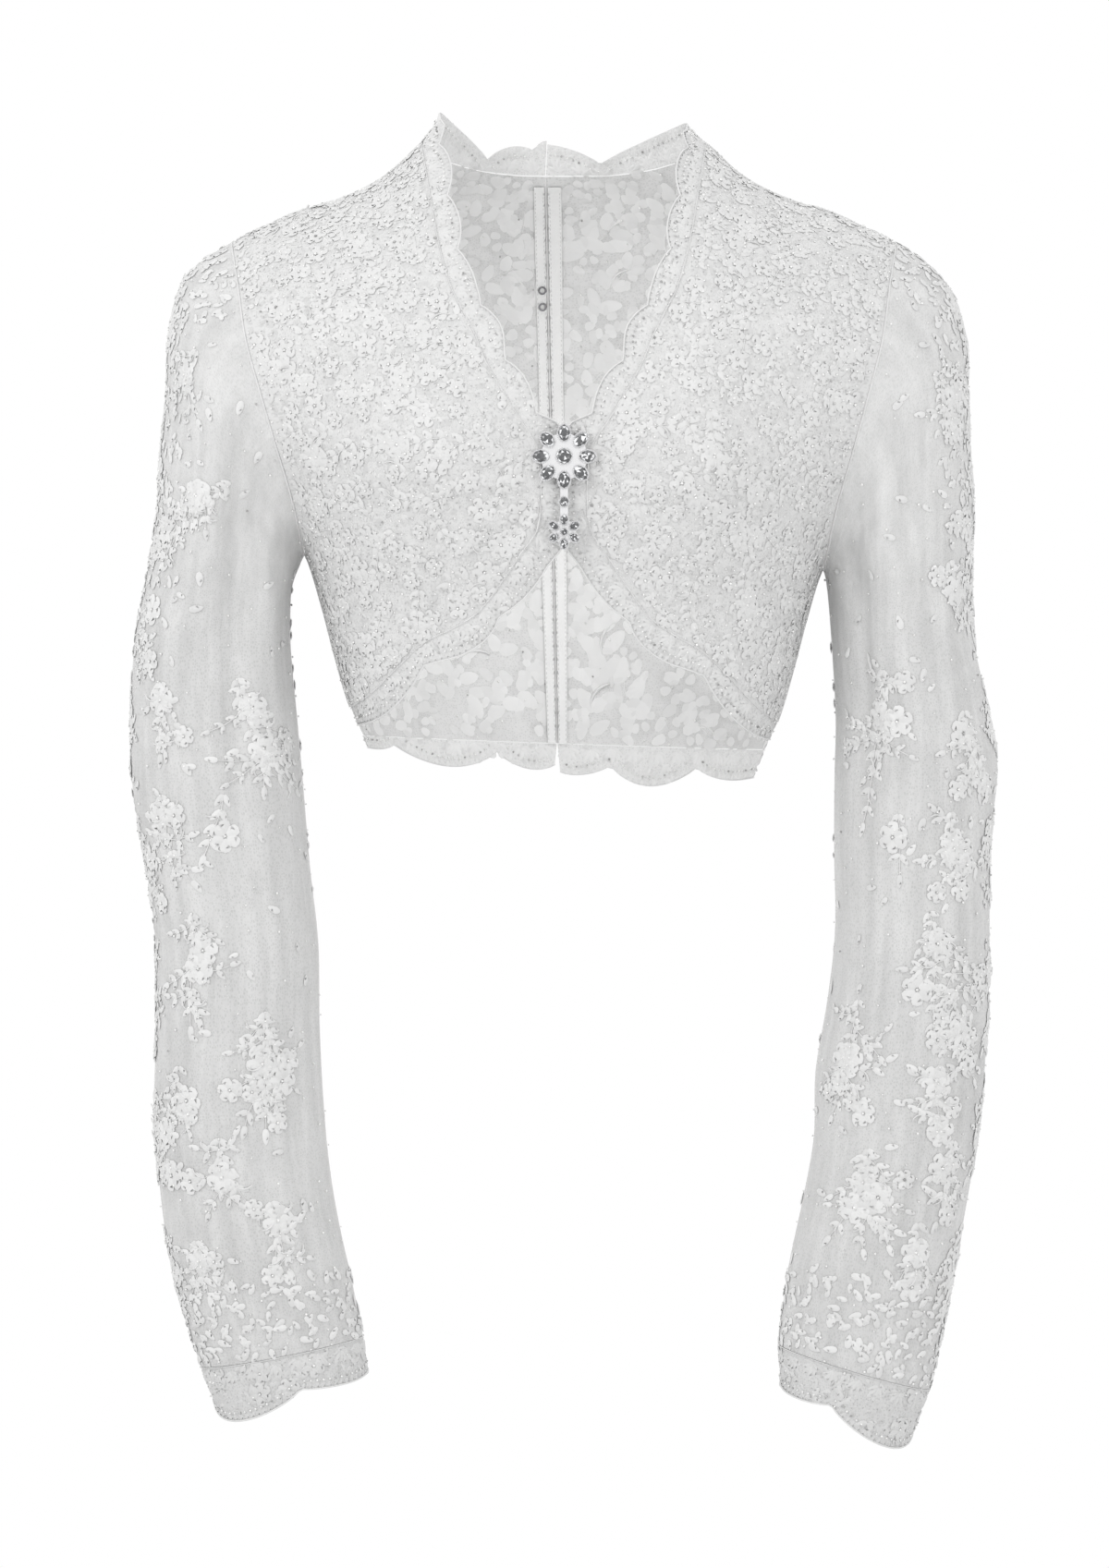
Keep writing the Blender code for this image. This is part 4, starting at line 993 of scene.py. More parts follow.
def beadShape(name, rows=3, columns=5):
    # a small round bead, 1 across
    points = [(0.0, 0.0, 0.5)]
    for row in range(1, rows + 1):
        drop = pi * row / (rows + 1)
        for column in range(columns):
            turn = 2 * pi * column / columns
            points.append((0.5 * sin(drop) * cos(turn), 0.5 * sin(drop) * sin(turn), 0.5 * cos(drop)))
    points.append((0.0, 0.0, -0.5))
    faces = []
    for column in range(columns):
        after = (column + 1) % columns
        faces.append((0, 1 + column, 1 + after))
        for row in range(rows - 1):
            a, b = 1 + row * columns + column, 1 + row * columns + after
            faces.append((a, a + columns, b + columns, b))
        last = 1 + (rows - 1) * columns
        faces.append((last + after, last + column, len(points) - 1))
    return shapeMesh(name, points, faces)


shapes = {
    "leaf": leafShape("leafShape", 10, 0.25, 1.0),
    "petal": leafShape("petalShape", 10, -0.25, 0.7),
    "curlLeft": curlShape("curlLeftShape", 1.6),
    "curlRight": curlShape("curlRightShape", -1.6),
    "bead": beadShape("beadShape"),
}


def eulerOf(along, out):  # turns X to along and Z to out
    z = unit(out)
    x = unit(along - (along * z).sum(-1, keepdims=True) * z)
    y = np.cross(z, x)
    turnX = np.arctan2(y[:, 2], z[:, 2])
    turnY = np.arcsin(np.clip(-x[:, 2], -1.0, 1.0))
    turnZ = np.arctan2(x[:, 1], x[:, 0])
    return np.stack([turnX, turnY, turnZ], axis=-1)


def newBasket():  # what is sewn on one piece, by kind of shape
    return {kind: [] for kind in (*shapes, "stems")}


def lay(basket, kind, surface, u, v, heading, size, lift, tone):
    # size is (length, width, height) of each, heading from the surface's own across towards up
    here = sampleAt(surface, u, v)
    place = here["place"] + here["out"] * np.broadcast_to(lift, u.shape)[:, None]
    size = np.stack([np.broadcast_to(each, u.shape) for each in size], axis=-1)
    tone = np.broadcast_to(tone, u.shape)
    basket[kind].append((place, eulerOf(headed(here, heading), here["out"]), size, tone))


def layLeaves(basket, surface, u, v, heading, length, width, look, draw, kind="leaf", lift=None):
    # leaves that start at (u, v) and point along heading
    length = np.broadcast_to(length, u.shape)
    cu, cv = stepOn(surface, u, v, heading, length / 2)
    tu, tv = stepOn(surface, u, v, heading, length)
    kept = isOn(surface, cu, cv, 0.3) & isOn(surface, tu, tv, -0.2)
    if not kept.any():
        return
    tone = draw.uniform(look["darkest"], 1.0, kept.sum())
    raised = look["lift"] if lift is None else lift
    size = (length[kept], np.broadcast_to(width, u.shape)[kept], look["thick"])
    heading = np.broadcast_to(heading, u.shape)[kept]
    lay(basket, kind, surface, cu[kept], cv[kept], heading, size, raised, tone)


# What beads, flowers and sprays share. Pairs are the lowest and the highest. over and what ends in Wide are in
# metres, what ends in Turn and wander are in radians, and the rest are shares.
growth = {
    # the dark beads' tone is painted shade: grey specks for shadowed gaps and dark reflections
    "paintedShadeTone": (0.30, 0.65),
    "clearTone": (0.85, 1.0),
    "over": 0.0002,
    "heartWide": (0.0014, 0.0018),
    "heartPaintedShade": 0.08,
    "stemWide": (0.0010, 0.0014),
    "stemPaintedShade": 0.05,
    "leafSize": (0.85, 1.15),
    "leafTurn": 0.16,
    "wander": 0.10,
    "curlTurn": 0.35,
    "curlSize": 1.25,
}


def layBeads(basket, surface, u, v, wide, lift, draw, paintedShadeShare):
    kept = isOn(surface, u, v, 0.1)
    count = int(kept.sum())
    if not count:
        return
    wide = draw.uniform(*wide, count)
    # a share of the beads is painted dark, as specks of painted shade
    dark = draw.random(count) < paintedShadeShare
    tone = np.where(dark, draw.uniform(*growth["paintedShadeTone"], count), draw.uniform(*growth["clearTone"], count))
    turn = draw.uniform(0, 2 * pi, count)
    lay(basket, "bead", surface, u[kept], v[kept], turn, (wide, wide, wide * 0.8), lift, tone)


def layFlowers(basket, surface, u, v, radius, petals, look, draw):
    start = draw.uniform(0, 2 * pi, len(u))
    for number in range(petals):
        heading = start + 2 * pi * number / petals
        cu, cv = stepOn(surface, u, v, heading, radius * 0.12)
        layLeaves(basket, surface, cu, cv, heading, radius * 0.92, radius * 0.72, look, draw, "petal",
                  look["lift"] + growth["over"])
    layBeads(basket, surface, u, v, growth["heartWide"], look["lift"] + look["thick"] * 0.5, draw,
             growth["heartPaintedShade"])


def strew(basket, surface, u, v, look, leaf, draw, kind="leaf"):  # small leaves that point anywhere
    length = draw.uniform(*look["fillLong"], len(u))
    heading = draw.uniform(0, 2 * pi, len(u))
    layLeaves(basket, surface, u, v, heading, length, length * look["fillSlim"], leaf, draw, kind)


def layCurls(basket, surface, u, v, heading, hand, leaf, look):  # only where the whole curl is on the surface
    aim, size = heading + hand * growth["curlTurn"], leaf * growth["curlSize"]
    kept = isOn(surface, u, v, 1.0) & isOn(surface, *stepOn(surface, u, v, aim, size), 0.5)
    if kept.any():
        size = size[kept]
        lay(basket, "curlLeft" if hand > 0 else "curlRight", surface, u[kept], v[kept], aim[kept],
            (size, size, size), look["lift"] + growth["over"], 0.98)


def growSprays(basket, surface, u, v, heading, length, look, draw, flowers):
    # stems with leaves in pairs, a curl or two, beads, and a flower or a leaf at the tip
    u, v = np.array(u, float), np.array(v, float)
    heading = np.array(heading, float)
    length = np.broadcast_to(length, u.shape)
    pairs = look["pairs"]
    turning = draw.normal(0.0, look["curve"], len(u))
    stems = [(u.copy(), v.copy())]
    leaf = look["leaf"] * draw.uniform(*growth["leafSize"], len(u))
    for pair in range(pairs):
        full = leaf * (0.72 + 0.28 * sin(pi * (0.25 + 0.65 * pair / pairs)))
        for hand in (-1, 1):
            aim = heading + hand * (look["spread"] + draw.normal(0.0, growth["leafTurn"], len(u)))
            layLeaves(basket, surface, u, v, aim, full * draw.uniform(*growth["leafSize"], len(u)),
                      full * look["slim"], look, draw)
        if pair % 2 == 1:
            layCurls(basket, surface, u, v, heading, 1 if draw.random() < 0.5 else -1, leaf, look)
        heading = heading + turning / pairs + draw.normal(0.0, growth["wander"], len(u))
        u, v = stepOn(surface, u, v, heading, length / pairs)
        stems.append((u.copy(), v.copy()))
    tips = draw.random(len(u)) < flowers
    if tips.any():
        layFlowers(basket, surface, u[tips], v[tips], leaf[tips] * 0.95, 6, look, draw)
    if (~tips).any():
        layLeaves(basket, surface, u[~tips], v[~tips], heading[~tips], leaf[~tips] * 1.05,
                  leaf[~tips] * look["slim"], look, draw)
    for number in range(len(u)):
        places = [(su[number:number + 1], sv[number:number + 1]) for su, sv in stems]
        line = [sampleAt(surface, *place) for place in places if isOn(surface, *place, 0.2)[0]]
        if len(line) > 2:
            lift = look["lift"] + growth["over"]
            points = np.array([(at["place"] + at["out"] * lift)[0] for at in line])
            basket["stems"].append((points, False))
    for su, sv in stems:
        chosen = draw.random(len(su)) < look["beads"]
        layBeads(basket, surface, su[chosen], sv[chosen], growth["stemWide"],
                 look["lift"] + look["thick"] * 0.6, draw, growth["stemPaintedShade"])


def putShapes(name, kinds, basket, material, seed, tilt):
    made = []
    for kind in kinds:
        if not basket[kind]:
            continue
        place, turn, size, tone = (np.concatenate([each[part] for each in basket[kind]]) for part in range(4))
        mesh = bpy.data.meshes.new(name)
        mesh.from_pydata(place.tolist(), [], [])
        for label, values, sort in (("turn", turn, "FLOAT_VECTOR"), ("size", size, "FLOAT_VECTOR"),
                                    ("tone", tone, "FLOAT")):
            column = mesh.attributes.new(label, sort, "POINT")
            field = "value" if sort == "FLOAT" else "vector"
            column.data.foreach_set(field, values.astype(np.float32).ravel())
        piece = addObject(f"{name}_{kind}", mesh)
        settle(piece, trees["sewnOn"], Shape=shapes[kind], Finish=material, Tilt=tilt, Seed=seed)
        made.append(piece)
    return joined(name, made)


def joined(name, made):
    if not made:
        return None
    for other in bpy.context.selected_objects:
        other.select_set(False)
    for piece in made:
        piece.select_set(True)
    bpy.context.view_layer.objects.active = made[0]
    if len(made) > 1:
        bpy.ops.object.join()
    made[0].select_set(False)
    made[0].name = name
    made[0].data.name = name
    return made[0]


def layCords(name, lines, thickness, corners, material):
    points, edges = [], []
    for line, closed in lines:
        first = len(points)
        points += [tuple(point) for point in line]
        edges += [(first + number, first + number + 1) for number in range(len(line) - 1)]
        if closed:
            edges.append((len(points) - 1, first))
    mesh = bpy.data.meshes.new(name)
    mesh.from_pydata(points, edges, [])
    made = addObject(name, mesh)
    settle(made, trees["cord"], Thickness=thickness, Sides=corners, Finish=material)
    place = np.empty(len(made.data.vertices) * 3)
    made.data.vertices.foreach_get("co", place)
    place = place.reshape(-1, 3)
    corner = np.array([loop.vertex_index for loop in made.data.loops])
    chart = made.data.uv_layers.new(name="UVMap")
    spots = np.stack([place[corner, 0] + place[corner, 1], place[corner, 2]], axis=-1)
    chart.data.foreach_set("uv", spots.ravel())
    return made


def dress(piece, slot, *nodes):
    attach(piece, "root")
    if nodes:
        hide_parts(*nodes)
    return piece


def sewOn(name, basket, laceFinish, slot, seed, cordThick=0.0006):
    # the lace, cords and beads of one piece
    made = [
        putShapes(f"{name}_lace", ("leaf", "petal"), basket, laceFinish, seed, 0.03),
        putShapes(f"{name}_curls", ("curlLeft", "curlRight"), basket, laceFinish, seed + 1, 0.08),
        putShapes(f"{name}_beads", ("bead",), basket, finishes["bead"], seed + 2, 0.5),
    ]
    if basket["stems"]:
        made.append(layCords(f"{name}_stems", basket["stems"], cordThick, 4, finishes["cord"]))
    made = [piece for piece in made if piece is not None]
    for piece in made:
        dress(piece, slot)
    return made


def newCloth(name, surface, look, finish, slot, *nodes):
    cloth = addWall(f"{name}_net", surface, look["depth"], look["cloth"], finishes[finish])
    return dress(cloth, slot, *nodes)


def headingFrom(place, middle):  # away from a point, as a heading on a front or back seen from outside
    return np.arctan2(place[:, 2] - middle[1], np.abs(place[:, 0]) - middle[0])


# The fronts: dense beaded lace over net
fronts = {
    "cloth": 0.0003,
    "depth": 0.0005,
    "sprayEvery": 0.0150,
    "sprayTries": 1100,
    "sprayFrom": (0.01, -0.16),
    "sprayTurn": 0.7,
    "sprayLong": (0.017, 0.026),
    "sprayFlowers": 0.5,
    "flowerEvery": 0.0130,
    "flowerTries": 900,
    "flowerWide": (0.0042, 0.0068),
    "fillEvery": 0.0029,
    "fillTries": 18000,
    "fillLong": (0.0034, 0.0060),
    "fillSlim": 0.62,
    "beadEvery": 0.0050,
    "beadTries": 4200,
    "beadWide": (0.0009, 0.0014),
    "beadLift": 0.0001,
    "beadPaintedShade": 0.10,
    "stem": 0.0006,
    "under": {"lift": -0.00045, "thick": 0.0007, "darkest": 0.84},
    "flower": {"lift": -0.0002, "thick": 0.0011, "darkest": 0.95},
    "spray": {"lift": -0.0002, "thick": 0.0011, "darkest": 0.95, "pairs": 4, "curve": 1.2, "leaf": 0.0068,
              "spread": 0.85, "slim": 0.54, "beads": 0.3},
}


def scattered(surface, look, kind, draw, keep=None):
    return scatterPlaces(surface, look[f"{kind}Every"], look[f"{kind}Tries"], draw, keep)


def makeFront(name, side, seed):
    draw = np.random.default_rng(seed)
    surface = panelSurface(frontGrid(side), front)
    cloth = newCloth(f"front_{name}", surface, fronts, "bodyNet", "body_lace", f"front_{name}")
    basket = newBasket()
    u, v = scattered(surface, fronts, "spray", draw)
    place = sampleAt(surface, u, v)["place"]
    heading = headingFrom(place, fronts["sprayFrom"]) + draw.normal(0.0, fronts["sprayTurn"], len(u))
    length = draw.uniform(*fronts["sprayLong"], len(u))
    growSprays(basket, surface, u, v, heading, length, fronts["spray"], draw, fronts["sprayFlowers"])
    u, v = scattered(surface, fronts, "flower", draw)
    layFlowers(basket, surface, u, v, draw.uniform(*fronts["flowerWide"], len(u)), 5, fronts["flower"], draw)
    u, v = scattered(surface, fronts, "fill", draw)
    strew(basket, surface, u, v, fronts, fronts["under"], draw, "petal")
    u, v = scattered(surface, fronts, "bead", draw)
    layBeads(basket, surface, u, v, fronts["beadWide"], fronts["beadLift"], draw, fronts["beadPaintedShade"])
    sewn = sewOn(f"front_{name}", basket, finishes["lace"], "body_lace", seed, fronts["stem"])


# The plackets inside the centre back, with stitching and a row of small loops
placket = {"share": 0.36, "inset": 0.04, "under": 0.0016, "thick": 0.0010, "stitchEvery": 0.0026,
           "loopEvery": 0.0075}


def makePlacket(name, side, seed):
    grid = panelSurface(backGrid(side), back)
    rows, columns = len(grid["points"]) - 1, 5
    u = np.linspace(placket["inset"], placket["share"], columns) * garment["finer"]
    v = np.arange(rows, dtype=float) + 1
    v[-1] -= 1e-3
    found = sampleAt(grid, np.tile(u, rows), np.repeat(v, columns))
    surface = {
        "points": found["place"].reshape(rows, columns, 3),
        "normals": found["out"].reshape(rows, columns, 3),
        "wrap": False,
    }
    tape = addWall(f"placket_{name}_tape", surface, placket["under"], placket["thick"], finishes["placket"])
    dress(tape, "placket_cloth", f"placket_{name}")
    basket = newBasket()
    far = walk(surface["points"][:, 0])
    inside = -(placket["under"] + placket["thick"])
    for column, every, size, tone in (
        (0.5, placket["stitchEvery"], (0.0017, 0.0005, 0.0006), 0.85),
        (columns - 1.5, placket["stitchEvery"], (0.0017, 0.0005, 0.0006), 0.85),
        (0.02, placket["loopEvery"], (0.0020, 0.0008, 0.0009), 0.62),
    ):
        v = np.interp(np.arange(0.004, far[-1] - 0.002, every), far, np.arange(len(far)))
        u = np.full(len(v), column)
        lay(basket, "leaf", surface, u, v, np.full(len(v), pi / 2), size, inside, np.full(len(v), tone))
    sewn = putShapes(f"placket_{name}_stitches", ("leaf",), basket, finishes["lace"], seed, 0.03)
    dress(sewn, "placket_cloth")
    print("placket", name, "flat", *cutSize(surface))
    return [tape, sewn]


# The backs: larger open leaves on a net that shows between them
backs = {
    "cloth": 0.0002,
    "depth": 0.0005,
    "sprayEvery": 0.026,
    "sprayTries": 800,
    "sprayTurn": 0.9,
    "sprayLong": (0.030, 0.042),
    "sprayFlowers": 0.3,
    "flowerEvery": 0.023,
    "flowerTries": 700,
    "flowerWide": (0.0095, 0.0130),
    "fillEvery": 0.0056,
    "fillTries": 4000,
    "fillShare": 0.85,
    "fillLong": (0.0070, 0.0135),
    "fillSlim": 0.60,
    "beadEvery": 0.0135,
    "beadTries": 1100,
    "beadWide": (0.0010, 0.0014),
    "beadLifts": (0.0004, -0.0016),  # one bead on each face
    "beadPaintedShade": 0.2,
    "stem": 0.0008,
    "under": {"lift": -0.0006, "thick": 0.0012, "darkest": 0.90},
    "spray": {"lift": -0.0006, "thick": 0.0014, "darkest": 0.94, "pairs": 3, "curve": 0.9, "leaf": 0.0170,
              "spread": 0.80, "slim": 0.56, "beads": 0.3},
}


# patches where the net of the backs is left bare
barePatches = {
    "x": [-0.049, -0.037, -0.048, 0.025, 0.030, 0.034, 0.036, -0.020, 0.008, -0.030, 0.060, -0.070, 0.025, 0.033,
          -0.039, -0.064, 0.013, 0.016, 0.063, 0.069, -0.080, -0.030, -0.024, -0.097, -0.044, 0.090],
    "z": [0.001, -0.019, -0.038, -0.019, -0.045, -0.069, -0.006, -0.085, -0.105, -0.130, -0.095, -0.100, -0.232,
          -0.244, -0.239, -0.244, -0.257, -0.286, -0.290, -0.264, -0.285, -0.259, -0.286, -0.279, -0.286, -0.245],
    "wide": [0.0100, 0.0130, 0.0110, 0.0090, 0.0110, 0.0085, 0.0070, 0.0080, 0.0090, 0.0100, 0.0120, 0.0120,
             0.0100, 0.0100, 0.0100, 0.0080, 0.0080, 0.0070, 0.0070, 0.0070, 0.0090, 0.0060, 0.0070, 0.0080,
             0.0060, 0.0090],
}


def coveredShare(place):  # how likely lace is at a place of the backs
    x, z, wide = (np.array(barePatches[field]) for field in ("x", "z", "wide"))
    away = np.hypot(place[:, None, 0] - x, place[:, None, 2] - z)
    return np.clip((away / wide).min(axis=1) * 2.0 - 1.4, 0.0, 1.0)


def makeBack(name, side, seed):
    draw = np.random.default_rng(seed)
    surface = panelSurface(backGrid(side), back)
    cloth = newCloth(f"back_{name}", surface, backs, "backNet", "body_lace", f"back_{name}")
    basket = newBasket()
    u, v = scattered(surface, backs, "spray", draw)
    heading = radians(90) + draw.normal(0.0, backs["sprayTurn"], len(u))
    length = draw.uniform(*backs["sprayLong"], len(u))
    growSprays(basket, surface, u, v, heading, length, backs["spray"], draw, backs["sprayFlowers"])
    u, v = scattered(surface, backs, "flower", draw)
    layFlowers(basket, surface, u, v, draw.uniform(*backs["flowerWide"], len(u)), 6, backs["spray"], draw)
    u, v = scattered(surface, backs, "fill", draw, keep=coveredShare)
    chosen = draw.random(len(u)) < backs["fillShare"]
    strew(basket, surface, u[chosen], v[chosen], backs, backs["under"], draw, "petal")
    u, v = scattered(surface, backs, "bead", draw)
    for lift in backs["beadLifts"]:
        layBeads(basket, surface, u, v, backs["beadWide"], lift, draw, backs["beadPaintedShade"])
    sewn = sewOn(f"back_{name}", basket, finishes["backLace"], "body_lace", seed, backs["stem"])
    sewn += makePlacket(name, side, seed + 74)


# The sleeves: sheer net with clusters of leaves. Each cluster hangs from top to bottom at x, as seen from
# the front, and is wide across its middle.
sleeves = {
    "cloth": 0.00035,
    "depth": 0.0005,
    "cuffFrom": -0.585,
    "capTo": -0.075,
    "fillEvery": 0.0042,
    "fillTries": 16000,
    "fillLong": (0.0055, 0.0082),
    "fillSlim": 0.48,
    "beadEvery": 0.0082,
    "beadTries": 5000,
    "beadWide": (0.0010, 0.0015),
    "beadLift": 0.0002,
    "beadPaintedShade": 0.03,
    "leafEvery": 0.0095,
    "branchEvery": 0.011,
    "flowerWide": 0.0085,
    "stem": 0.0006,
    "spray": {"lift": -0.0003, "thick": 0.0014, "darkest": 0.88, "pairs": 5, "curve": 0.5, "leaf": 0.0080,
              "spread": 0.80, "slim": 0.46, "beads": 0.3},
    "branch": {"lift": -0.0001, "thick": 0.0013, "darkest": 0.88, "pairs": 3, "curve": 0.8, "leaf": 0.0066,
               "spread": 0.75, "slim": 0.48, "beads": 0.3},
}
frontClusters = {
    "right": {
        "x": [0.205, 0.196, 0.210, 0.178, 0.222, 0.215, 0.174, 0.180, 0.215, 0.198, 0.160, 0.205, 0.1825, 0.155,
              0.196],
        "top": [-0.050, -0.088, -0.165, -0.160, -0.215, -0.262, -0.258, -0.322, -0.322, -0.388, -0.435, -0.470,
                -0.508, -0.538, -0.560],
        "bottom": [-0.092, -0.128, -0.198, -0.215, -0.256, -0.300, -0.334, -0.356, -0.372, -0.448, -0.498,
                   -0.505, -0.545, -0.575, -0.590],
        "wide": [0.020, 0.020, 0.020, 0.020, 0.024, 0.018, 0.038, 0.010, 0.020, 0.028, 0.034, 0.018, 0.022,
                 0.020, 0.022],
    },
    "left": {
        "x": [0.205, 0.196, 0.212, 0.205, 0.170, 0.176, 0.214, 0.205, 0.195, 0.213, 0.157, 0.200, 0.162, 0.208,
              0.190],
        "top": [-0.045, -0.100, -0.150, -0.200, -0.258, -0.330, -0.278, -0.330, -0.385, -0.440, -0.435, -0.470,
                -0.512, -0.505, -0.555],
        "bottom": [-0.090, -0.160, -0.195, -0.245, -0.340, -0.362, -0.322, -0.372, -0.455, -0.478, -0.500,
                   -0.505, -0.565, -0.545, -0.590],
        "wide": [0.020, 0.034, 0.020, 0.020, 0.034, 0.008, 0.026, 0.018, 0.030, 0.018, 0.032, 0.018, 0.030,
                 0.020, 0.022],
    },
}
rearClusters = {"angles": [272, 322, 8], "every": 0.074, "long": 0.050, "wide": 0.024}


def nearestOnFront(surface, x, z):
    # the place on the side that faces the front which is seen at (x, z)
    facing = surface["normals"][..., 1] < 0.05
    away = np.hypot(surface["points"][..., 0] - x, surface["points"][..., 2] - z) + np.where(facing, 0.0, 1.0)
    v, u = np.unravel_index(np.argmin(away), away.shape)
    return float(u), float(v)


def growCluster(basket, surface, u, v, long, wide, draw, flowers):
    # one hanging cluster: a main stem with leaves and a row of side branches
    down = -pi / 2 + draw.normal(0.0, 0.14)
    look = {**sleeves["spray"], "pairs": max(3, round(long / sleeves["leafEvery"]))}
    start = (np.array([u]), np.array([v]))
    growSprays(basket, surface, *start, np.array([down]), long, look, draw, 0.2)
    count = max(2, round(long / sleeves["branchEvery"]))
    branches = []
    for number in range(count):
        share = (number + 0.5) / count
        at = stepOn(surface, *start, down, long * share * 0.92)
        reach = wide * (0.35 + 0.4 * sin(pi * share) ** 0.7)
        for hand in (-1, 1):
            if draw.random() < 0.12:
                continue
            heading = down + hand * draw.uniform(0.75, 1.25)
            branches.append((at[0][0], at[1][0], heading, reach * draw.uniform(0.8, 1.15)))
    if branches and wide > 0.012:
        branch = {**sleeves["branch"], "pairs": 2 if wide < 0.024 else 3}
        growSprays(basket, surface, *np.array(branches).T, branch, draw, 0.25)
    if flowers:
        spots = [stepOn(surface, *start, down + draw.normal(0, 0.3), long * draw.uniform(0.2, 0.7))
                 for _ in range(flowers)]
        u, v = (np.array([spot[axis][0] for spot in spots]) for axis in range(2))
        layFlowers(basket, surface, u, v, sleeves["flowerWide"], 6, look, draw)


def sleeveFill(place):
    # how likely a small leaf is at a place: dense near the cuff and along the outer side of the cap
    z = place[:, 2]
    cuff = np.clip((sleeves["cuffFrom"] + 0.012 - z) / 0.03, 0.0, 1.0)
    cap = np.clip((z - sleeves["capTo"]) / 0.03, 0.0, 1.0)
    outer = np.clip((np.abs(place[:, 0]) - 0.196) / 0.02, 0.0, 1.0) * np.clip((z + 0.24) / 0.05, 0.0, 1.0)
    return np.clip(0.9 * cuff + 0.75 * cap + 0.35 * outer + 0.012, 0.0, 1.0)


def sleeveBeads(place):
    return 0.12 + 0.88 * sleeveFill(place)


def makeSleeve(name, seed):
    draw = np.random.default_rng(seed)
    surface = tubeSurface(sleeveGrid(name))
    cloth = newCloth(f"sleeve_{name}", surface, sleeves, "sleeveNet", "sleeve_net", f"sleeve_upper_{name}",
                     f"sleeve_lower_{name}")
    basket = newBasket()
    table = frontClusters[name]
    for x, top, bottom, wide in zip(*(table[field] for field in ("x", "top", "bottom", "wide"))):
        u, v = nearestOnFront(surface, sides[name] * x, top)
        growCluster(basket, surface, u, v, top - bottom, wide, draw, 1 if top - bottom < 0.05 else 2)
    columns = surface["points"].shape[1]
    total = walk(surface["points"][:, 0])
    rear = rearClusters
    for number, angle in enumerate(rear["angles"]):
        start = 0.03 + (number % 2) * rear["every"] / 2
        for far in np.arange(start, total[-1] - rear["long"], rear["every"]):
            v = float(np.interp(far, total, np.arange(len(total))))
            u = columns * (angle + draw.normal(0.0, 6.0)) / 360
            growCluster(basket, surface, u, v, rear["long"], rear["wide"], draw, 1)
    u, v = scattered(surface, sleeves, "fill", draw, keep=sleeveFill)
    strew(basket, surface, u, v, sleeves, sleeves["branch"], draw)
    u, v = scattered(surface, sleeves, "bead", draw, keep=sleeveBeads)
    layBeads(basket, surface, u, v, sleeves["beadWide"], sleeves["beadLift"], draw, sleeves["beadPaintedShade"])
    sewn = sewOn(f"sleeve_{name}", basket, finishes["sleeveLace"], "sleeve_net", seed, sleeves["stem"])


# The scalloped borders: a net strip, dense small leaves, a fan in each lobe, cords and beads on the edge
borders = {
    "cloth": 0.0002,
    "depth": 0.0005,
    "fillEvery": 0.0031,
    "fillLong": (0.0040, 0.0060),
    "fillSlim": 0.5,
    "fanEvery": 0.0125,
    "fanLong": 0.0088,
    "fanSideLong": 0.0066,
    "sprayEvery": 0.0125,
    "sprayLong": 0.008,
    "edgeEvery": 0.0036,
    "edgeLong": (0.0036, 0.0044),
    "edgeBead": (0.0011, 0.0015),
    "edgeBeadLifts": (0.0003, -0.0015),  # one bead on each face
    "edgeCord": 0.0009,
    "seamCord": 0.0004,
    "cordLift": 0.0001,
    "leaf": {"lift": -0.0006, "thick": 0.0013, "darkest": 0.86},
    "spray": {"lift": -0.0003, "thick": 0.0013, "darkest": 0.95, "pairs": 2, "curve": 1.2, "leaf": 0.0062,
              "spread": 0.9, "slim": 0.54, "beads": 0.2},
    "fan": {"lift": -0.0006, "thick": 0.0018, "darkest": 0.97},
}


def edgeRow(basket, surface, draw):
    # petals that point out over the free edge, with a bead at each foot
    line = surface["points"][-1]
    if surface["wrap"]:
        line = np.concatenate([line, line[:1]])
    far = walk(line)
    count = int(far[-1] / borders["edgeEvery"])
    u = np.interp((np.arange(count) + 0.5) * far[-1] / count, far, np.arange(len(line)))
    v = np.full(count, len(surface["points"]) - 1.0)
    heading = np.full(count, -pi / 2) + draw.normal(0.0, 0.18, count)
    foot, inner = (stepOn(surface, u, v, pi / 2, distance) for distance in (0.0016, 0.0044))
    length = draw.uniform(*borders["edgeLong"], count)
    tone = draw.uniform(0.94, 1.0, count)
    lay(basket, "petal", surface, *foot, heading, (length, length * 0.62, 0.0014), -0.0005, tone)
    for lift in borders["edgeBeadLifts"]:
        # three in ten of these edge beads are painted dark, as specks of painted shade
        layBeads(basket, surface, *inner, borders["edgeBead"], lift, draw, 0.3)


def lobeFans(basket, surface, draw):
    # leaves that spread towards the free edge from points along the seam
    line = surface["points"][0]
    far = walk(np.concatenate([line, line[:1]]) if surface["wrap"] else line)
    count = max(2, int(far[-1] / borders["fanEvery"]))
    for number in range(count):
        u = np.interp((number + 0.5) * far[-1] / count, far, np.arange(len(far)))
        for spread in (-1.1, -0.55, 0.0, 0.55, 1.1):
            length = borders["fanLong" if abs(spread) < 0.6 else "fanSideLong"]
            layLeaves(basket, surface, np.array([u]), np.array([0.6]), np.array([-pi / 2 + spread]), length,
                      length * 0.42, borders["fan"], draw)


